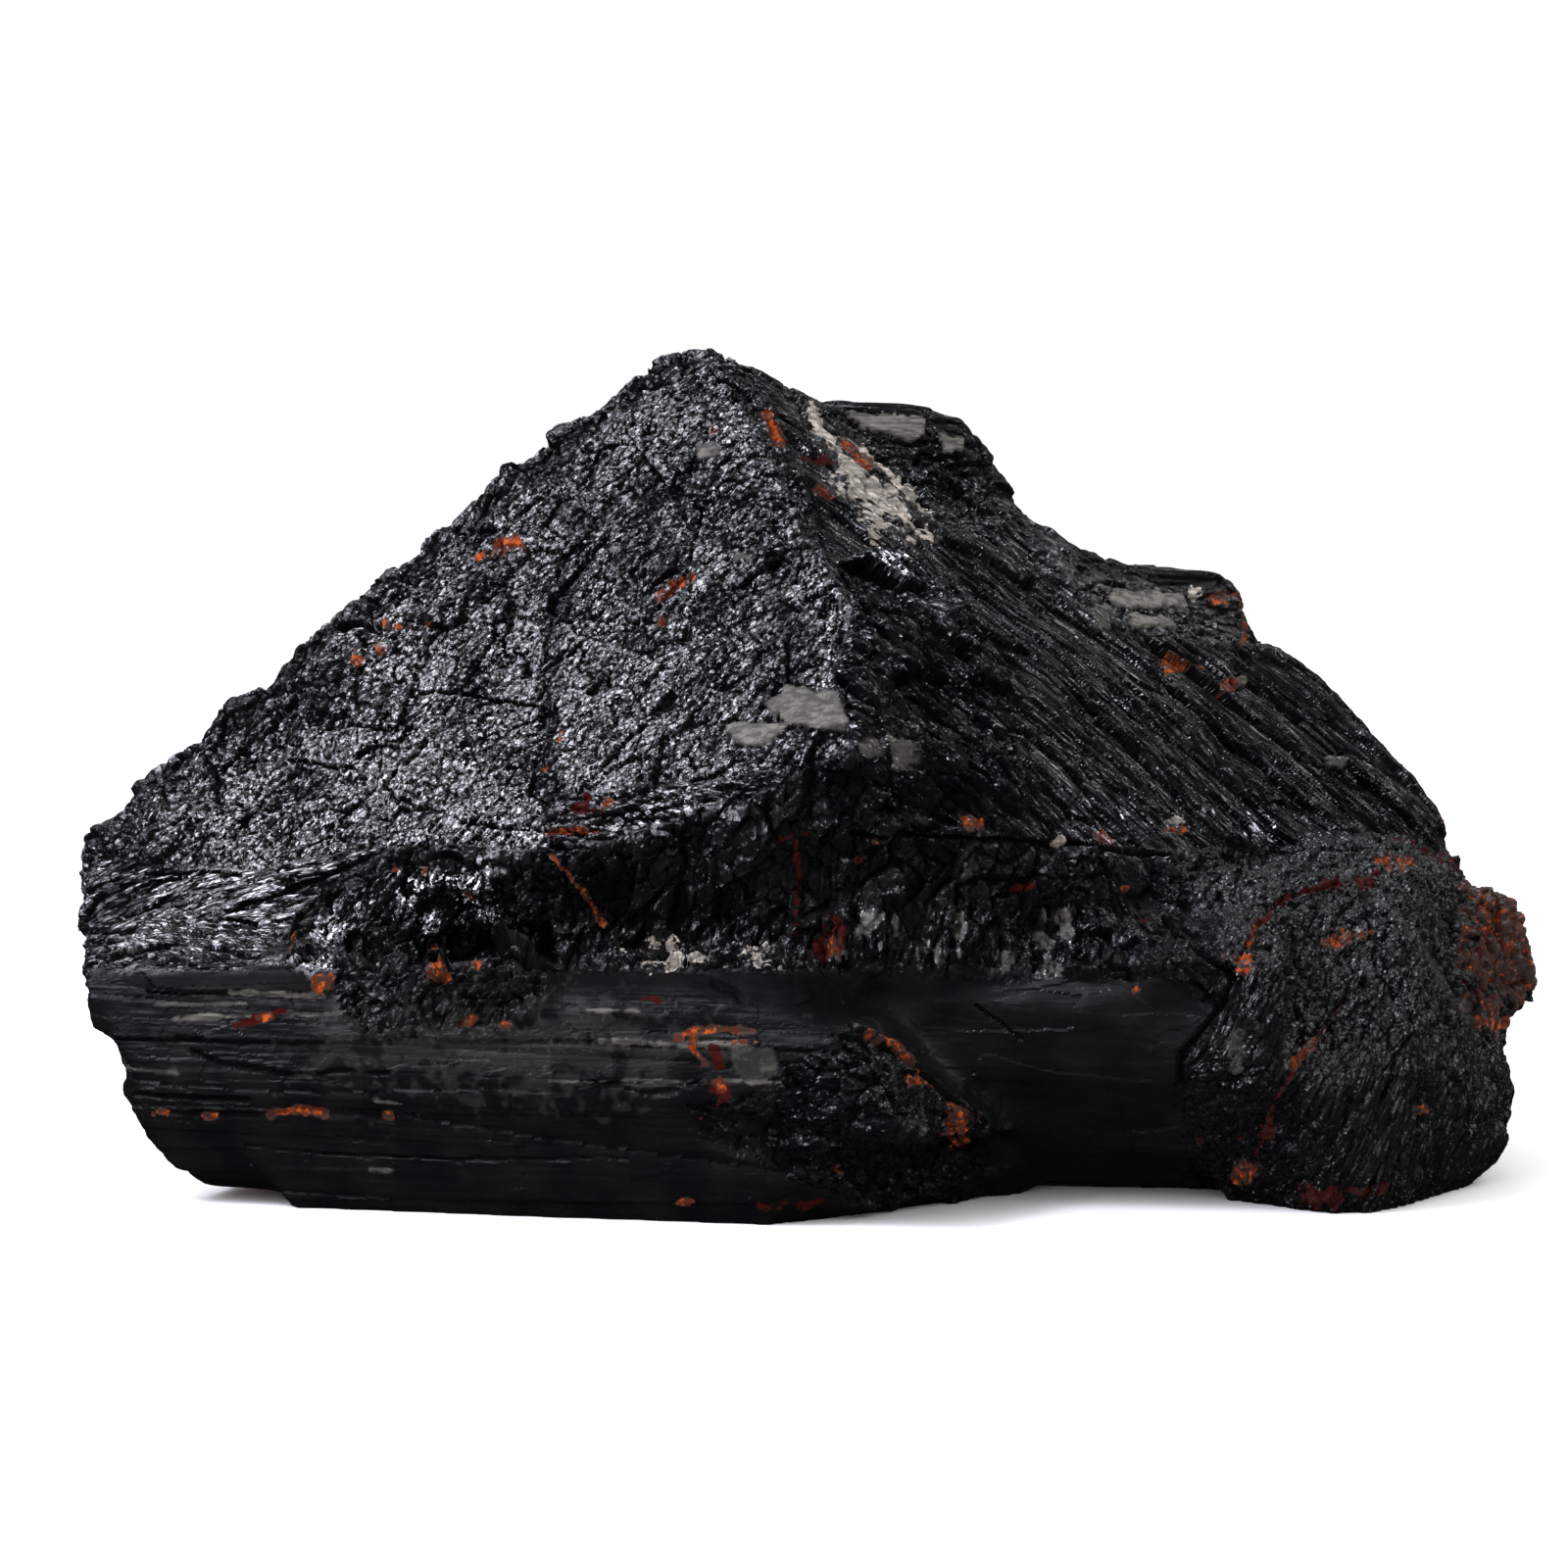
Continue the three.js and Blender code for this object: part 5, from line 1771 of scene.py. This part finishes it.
@dataclass
class StonePiece:
    """One wedge of the stone: a stretch of skin, closed by faces that meet in its heart.

    Attributes:
        name: Its name.
        zones: The zones that it carries.
        heart: Where its inner faces meet, in millimetres.
        finer: How often its faces are cut in four.
        depth: How far its edge runs straight in before it turns to the heart.
        clear: How far it stays inside the frame's box, in millimetres.
    """

    name: str
    zones: tuple[str, ...]
    heart: Triple
    finer: int = 1
    depth: float = 6.0
    clear: float = 0.02

    def build(
        self, skin: Skin, relief: Relief, staining: Staining, finish: bpy.types.Material
    ) -> bpy.types.Object:
        """Cuts the stretch finer, raises its facets, closes it and dresses it.

        Args:
            skin: The stretch of even skin.
            relief: The zones' facets.
            staining: The stains.
            finish: The stone's material.

        Returns:
            The piece, in metres, riding on the stone's body.
        """
        known = len(skin.points)
        for _ in range(self.finer):
            known = len(skin.points)
            skin = skin.finer()
        points, shares, height = relief.raised(skin)
        low, high = (np.array(corner) / MM for corner in CAD_BOX)
        points = np.clip(points, low + (self.clear, self.clear, 0.0), high - self.clear)
        points[skin.points[:, 2] <= 0.0, 2] = 0.0
        mesh = self.closed(skin, points, known)
        stains = staining.amounts(skin.points, skin.normals)
        self.dress(mesh, skin, shares, stains, height, relief.zones())
        mesh.materials.append(finish)
        piece = placed(self.name, mesh)
        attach(piece, BODY)
        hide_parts(NODE)
        LOG.info("%s: %d triangles", self.name, len(mesh.loops) - 2 * len(mesh.polygons))
        return piece

    def closed(self, skin: Skin, points: Array, known: int) -> bpy.types.Mesh:
        """Makes the mesh: the skin, a wall straight in from its rim, and caps to the heart.

        Args:
            skin: The skin before its relief.
            points: Its points after the relief.
            known: How many points the next coarser skin had. Rim points after these are
                moved to the middle of their neighbours, where a coarser piece has a
                straight side, so that no gap opens there.

        Returns:
            The mesh, in metres, with the skin's points first.
        """
        count = len(points)
        sides = skin.sides()
        keys = sides[:, 0] * count + sides[:, 1]
        open_sides = sides[~np.isin(keys, sides[:, 1] * count + sides[:, 0])]
        rim, place = np.unique(open_sides, return_inverse=True)
        place = place.reshape(open_sides.shape)
        others = points[open_sides[:, ::-1].T.ravel()]
        middles = rim >= known
        points[rim[middles]] = gathered(place.T.ravel(), others, len(rim))[middles] / 2
        inner = place + count
        walls = np.concatenate([open_sides[:, ::-1], inner], axis=1)
        heart = np.full((len(inner), 1), count + len(rim))
        caps = np.concatenate([inner[:, ::-1], heart], axis=1)
        ring = skin.points[rim] - skin.normals[rim] * self.depth
        ring[:, 2] = np.maximum(ring[:, 2], 0.5)
        everything = np.concatenate([points, ring, [self.heart]]) * MM
        corners = np.concatenate([skin.quads.ravel(), walls.ravel(), caps.ravel()])
        sizes = np.repeat((4, 4, 3), (len(skin.quads), len(walls), len(caps)))
        starts = np.concatenate([[0], np.cumsum(sizes)[:-1]])
        mesh = bpy.data.meshes.new(self.name)
        mesh.vertices.add(len(everything))
        mesh.vertices.foreach_set("co", everything.astype(np.float32).ravel())
        mesh.loops.add(len(corners))
        mesh.loops.foreach_set("vertex_index", corners.astype(np.int32))
        mesh.polygons.add(len(sizes))
        mesh.polygons.foreach_set("loop_start", starts.astype(np.int32))
        mesh.polygons.foreach_set("use_smooth", np.zeros(len(sizes), bool))
        mesh.update(calc_edges=True)
        mesh.validate()
        return mesh

    def dress(
        self,
        mesh: bpy.types.Mesh,
        skin: Skin,
        shares: Array,
        stains: Array,
        height: Array,
        zones: tuple[Zone, ...],
    ) -> None:
        """Writes the attributes that the finish reads.

        Args:
            mesh: The piece's mesh, whose last points are the inner ones.
            skin: The skin before its relief.
            shares: How far each point belongs to each zone.
            stains: How much of each stain each point carries.
            height: How far each point was moved out, in millimetres.
            zones: The zones, in the order of the shares.
        """
        best = shares.argmax(axis=1)
        grain = np.zeros((len(best), 3))
        for number, zone in enumerate(zones):
            on = best == number
            if on.any():
                grain[on] = zone.local(skin.points[on]) / np.array(zone.grain) + 40.0 * number
        wanted = ("hackle", "lean", "gloss", "shine")
        hackle, lean, gloss, shine = (
            shares @ np.array([getattr(zone, name) for zone in zones]) for name in wanted
        )
        # Sunken points lose their lean, and sunken and low points reflect less: painted shade in hollows
        # and cracks.
        sunk = eased(skin.blurred(height[:, None], 5)[:, 0] - height, 0.02, 0.16)
        # A glint is a painted highlight that raises lean, gloss and shine; dull is painted shade that
        # lowers lean and shine.
        glint, dull = stains[:, Stain.GLINT], stains[:, Stain.DULL]
        hackle = hackle * (1.0 - 0.6 * np.minimum(stains[:, Stain.PALE], 1.0))
        lean = np.maximum(lean, 0.85 * np.minimum(glint, 1.0))
        lean = lean * (1.0 + 0.8 * cloud(skin.points, 6.0, Seed.LEAN, 3))
        lean = lean * (1.0 - dull) * (1.0 - sunk)
        gloss = gloss + 0.3 * glint
        shine = shine * (1.0 - 0.6 * eased(-height, 0.4, 1.4)) * (1.0 - 0.85 * sunk)
        shine = shine * (1.0 + 4.0 * np.maximum(glint - 1.0, 0.0))
        shine = shine * (1.0 + 0.35 * cloud(skin.points, 9.0, Seed.SHINE, 2))
        shine = shine * (1.0 - 0.6 * dull)
        style = np.stack([hackle, lean, gloss, shine], axis=1)
        self.write(mesh, "grain", "FLOAT_VECTOR", "vector", grain)
        self.write(mesh, "style", "FLOAT_COLOR", "color", style)
        self.write(mesh, "stain", "FLOAT_COLOR", "color", stains[:, : Stain.GLINT])

    def write(
        self, mesh: bpy.types.Mesh, name: str, kind: str, field_name: str, values: Array
    ) -> None:
        """Stores values on the mesh's points, with zeros on the inner ones.

        Args:
            mesh: The piece's mesh.
            name: The attribute's name.
            kind: The attribute's type.
            field_name: The property that holds each value.
            values: One row for each outer point.
        """
        attribute = mesh.attributes.new(name, kind, "POINT")
        inner = np.zeros((len(mesh.vertices) - len(values), values.shape[1]))
        padded = np.concatenate([values, inner])
        attribute.data.foreach_set(field_name, padded.astype(np.float32).ravel())


PIECES = (
    StonePiece(
        "left_face", ("left_face", "left_ridge", "left_fibres", "lower_ledges"), (-25.0, 0.0, 32.0)
    ),
    StonePiece(
        "right_face", ("right_face", "splinter_recess", "shoulder", "shoulder_rim"), (25.0, 5.0, 35.0)
    ),
    StonePiece("crest_crystals", ("crest", "crest_rim", "crest_flake"), (20.0, 12.0, 50.0)),
    StonePiece(
        "middle_break",
        ("middle_band", "broken_row", "arch_floor", "arch_rubble", "spilled_break"),
        (0.0, 10.0, 14.0),
    ),
    StonePiece("front_prism", ("front_prism", "smooth_band", "broken_end"), (-30.0, -15.0, 18.0)),
    StonePiece(
        "right_lobe", ("right_lobe", "rust_lump", "set_back_prism", "shelly_break"), (38.0, 14.0, 18.0)
    ),
    StonePiece("back_crystals", ("back_crystals", "back_breaks"), (0.0, 15.0, 30.0), finer=0),
    StonePiece("foot", ("foot",), (0.0, 5.0, 20.0), finer=0),
)


@dataclass
class Stone:
    """The whole stone: its skin, shared out among its pieces.

    Attributes:
        view: The camera.
        maker: What makes the skin.
        pieces: The pieces.
    """

    view: Viewpoint
    maker: SkinMaker = field(default_factory=SkinMaker)
    pieces: tuple[StonePiece, ...] = PIECES

    def build(self, finish: bpy.types.Material) -> list[bpy.types.Object]:
        """Makes every piece from one skin, so that they meet without a gap.

        Args:
            finish: The stone's material.

        Returns:
            The pieces.
        """
        skin = self.maker.build(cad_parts[NODE])
        sight = Sight(self.view)
        sight.learn(skin)
        relief, staining = Relief(sight), Staining(sight)
        shares = relief.shares(skin.points, skin.normals)
        home = {zone: number for number, piece in enumerate(self.pieces) for zone in piece.zones}
        owner = np.array([home[zone.name] for zone in relief.zones()])
        votes = shares[skin.quads].sum(axis=1)
        belongs = self.joined(skin, owner[votes.argmax(axis=1)])
        LOG.info("skin: %d faces", len(skin.quads))
        return [
            piece.build(skin.part(belongs == number), relief, staining, finish)
            for number, piece in enumerate(self.pieces)
        ]

    def joined(self, skin: Skin, belongs: Array) -> Array:
        """Leaves each piece its broadest stretch and gives its islands to the piece around them.

        Args:
            skin: The whole skin.
            belongs: The number of each face's piece.

        Returns:
            The new numbers, with every piece in one stretch.
        """
        one, two = skin.neighbours()
        label = np.arange(len(belongs))
        same = belongs[one] == belongs[two]
        before = np.zeros_like(label)
        while not np.array_equal(label, before):
            before = label.copy()
            least = np.minimum(label[one[same]], label[two[same]])
            np.minimum.at(label, one[same], least)
            np.minimum.at(label, two[same], least)
            label = label[label]
        extent = np.bincount(label, minlength=len(label))[label]
        numbers = range(len(self.pieces))
        kept = [np.where(belongs == number, extent, 0).argmax() for number in numbers]
        island = ~np.isin(label, label[kept])
        while island.any():
            for inside, outside in ((one, two), (two, one)):
                taken = island[inside] & ~island[outside]
                belongs[inside[taken]] = belongs[outside[taken]]
                island[inside[taken]] = False
        return belongs


# ---- studio --------------------------------------------------------------------------------------


@dataclass(frozen=True)
class Lamp:
    """A soft square lamp that faces the stone.

    Attributes:
        name: Its name.
        way: Direction from the stone to the lamp.
        distance: How far off it is, in metres.
        width: Its width in metres.
        radiance: How bright its face is.
        colour: Its colour.
        aim: The point that it faces, in metres.
    """

    name: str
    way: Triple
    distance: float
    width: float
    radiance: float
    colour: Triple
    aim: Triple = (0.0, 0.0, 0.05)

    def build(self) -> None:
        """Hangs the lamp; its power is radiance times area times pi."""
        data = bpy.data.lights.new(self.name, "AREA")
        data.shape, data.size = "SQUARE", self.width
        data.energy = self.radiance * self.width**2 * math.pi
        data.color = self.colour
        lamp = placed(self.name, data)
        way = Vector(self.way).normalized()
        hung = Matrix.Translation(way * self.distance + Vector(self.aim))
        lamp.matrix_world = hung @ way.to_track_quat("Z", "Y").to_matrix().to_4x4()


KEY_WAY = (-0.63, -0.28, 0.73)


@dataclass(frozen=True)
class Studio:
    """A plain pale floor under plain soft light.

    Attributes:
        lamps: The lamps.
        floor_size: Width of the floor in metres.
        floor_colour: The floor's colour.
        fleck_colour: The colour that it varies to.
        surround: The world's colour, as everything but gloss sees it.
        low_gloss: What gloss sees of the world below.
        high_gloss: What gloss sees of it above.
    """

    lamps: tuple[Lamp, ...] = (
        Lamp("key_light", KEY_WAY, 0.80, 0.78, 2.2, (0.85, 0.86, 1.0)),
        Lamp("key_heart", KEY_WAY, 0.79, 0.42, 6.2, (0.85, 0.86, 1.0)),
        Lamp("key_spark", KEY_WAY, 0.78, 0.18, 22.0, (0.88, 0.89, 1.0)),
        Lamp("right_light", (0.85, -0.45, 0.55), 1.0, 0.36, 2.4, (1.0, 0.99, 0.97)),
        Lamp("right_spark", (0.59, 0.24, 0.76), 1.0, 0.34, 4.6, (0.98, 0.99, 1.0)),
        Lamp("back_light", (-0.2, 0.9, 0.65), 1.0, 0.7, 1.3, (0.97, 0.98, 1.0)),
    )
    floor_size: float = 40.0
    floor_colour: Colour = (0.93, 0.93, 0.93, 1)
    fleck_colour: Colour = (0.95, 0.95, 0.95, 1)
    surround: Colour = (1.14, 1.14, 1.14, 1)
    low_gloss: Colour = (0.012, 0.012, 0.013, 1)
    high_gloss: Colour = (0.28, 0.285, 0.30, 1)

    def build(self) -> None:
        """Makes the floor, the lamps and the world."""
        for lamp in self.lamps:
            lamp.build()
        half = self.floor_size / 2
        corners = [(-half, -half, 0), (half, -half, 0), (half, half, 0), (-half, half, 0)]
        mesh = bpy.data.meshes.new("floor")
        mesh.from_pydata(corners, [], [(0, 1, 2, 3)])
        floor = placed("floor", mesh)
        floor.visible_glossy = False
        mesh.materials.append(self.floor_finish())
        bpy.context.scene.world = self.surroundings()
        bpy.context.scene.view_settings.view_transform = "Standard"

    def floor_finish(self) -> bpy.types.Material:
        """Matt pale paper.

        Returns:
            The material.
        """
        material = bpy.data.materials.new("floor_paper")
        material.use_nodes = True
        nodes = Nodes(material.node_tree)
        shader = material.node_tree.nodes["Principled BSDF"]
        place = nodes.add("ShaderNodeTexCoord").outputs["Object"]
        fleck = nodes.blend(nodes.noise(place, 40.0), self.floor_colour, self.fleck_colour)
        nodes.put(fleck, shader.inputs["Base Color"])
        shader.inputs["Roughness"].default_value = 0.95
        shader.inputs["Specular IOR Level"].default_value = 0.1
        return material

    def surroundings(self) -> bpy.types.World:
        """White all round, but dim in the stone's own reflections and dark low down.

        Returns:
            The world.
        """
        world = bpy.data.worlds.new("studio")
        world.use_nodes = True
        tree = world.node_tree
        tree.nodes.clear()
        nodes = Nodes(tree)
        way = nodes.add("ShaderNodeTexCoord").outputs["Generated"]
        split = nodes.add("ShaderNodeSeparateXYZ")
        nodes.put(way, split.inputs[0])
        rise = nodes.step(split.outputs[2], -0.1, 0.9)
        dim = nodes.blend(rise, self.low_gloss, self.high_gloss)
        glossy = nodes.add("ShaderNodeLightPath").outputs["Is Glossy Ray"]
        colour = nodes.blend(glossy, self.surround, dim)
        back = nodes.add("ShaderNodeBackground")
        nodes.put(colour, back.inputs[0])
        out = nodes.add("ShaderNodeOutputWorld")
        nodes.put(back.outputs[0], out.inputs[0])
        return world


def main() -> None:
    """Builds the camera, the studio and the stone, and reports each piece."""
    logging.basicConfig(level=logging.INFO, format="%(name)s: %(message)s", force=True)
    view = Viewpoint()
    view.build()
    Studio().build()
    for piece in Stone(view).build(SchorlFinish().build()):
        LOG.info("built %s", piece.name)


if __name__ == "__main__":
    main()
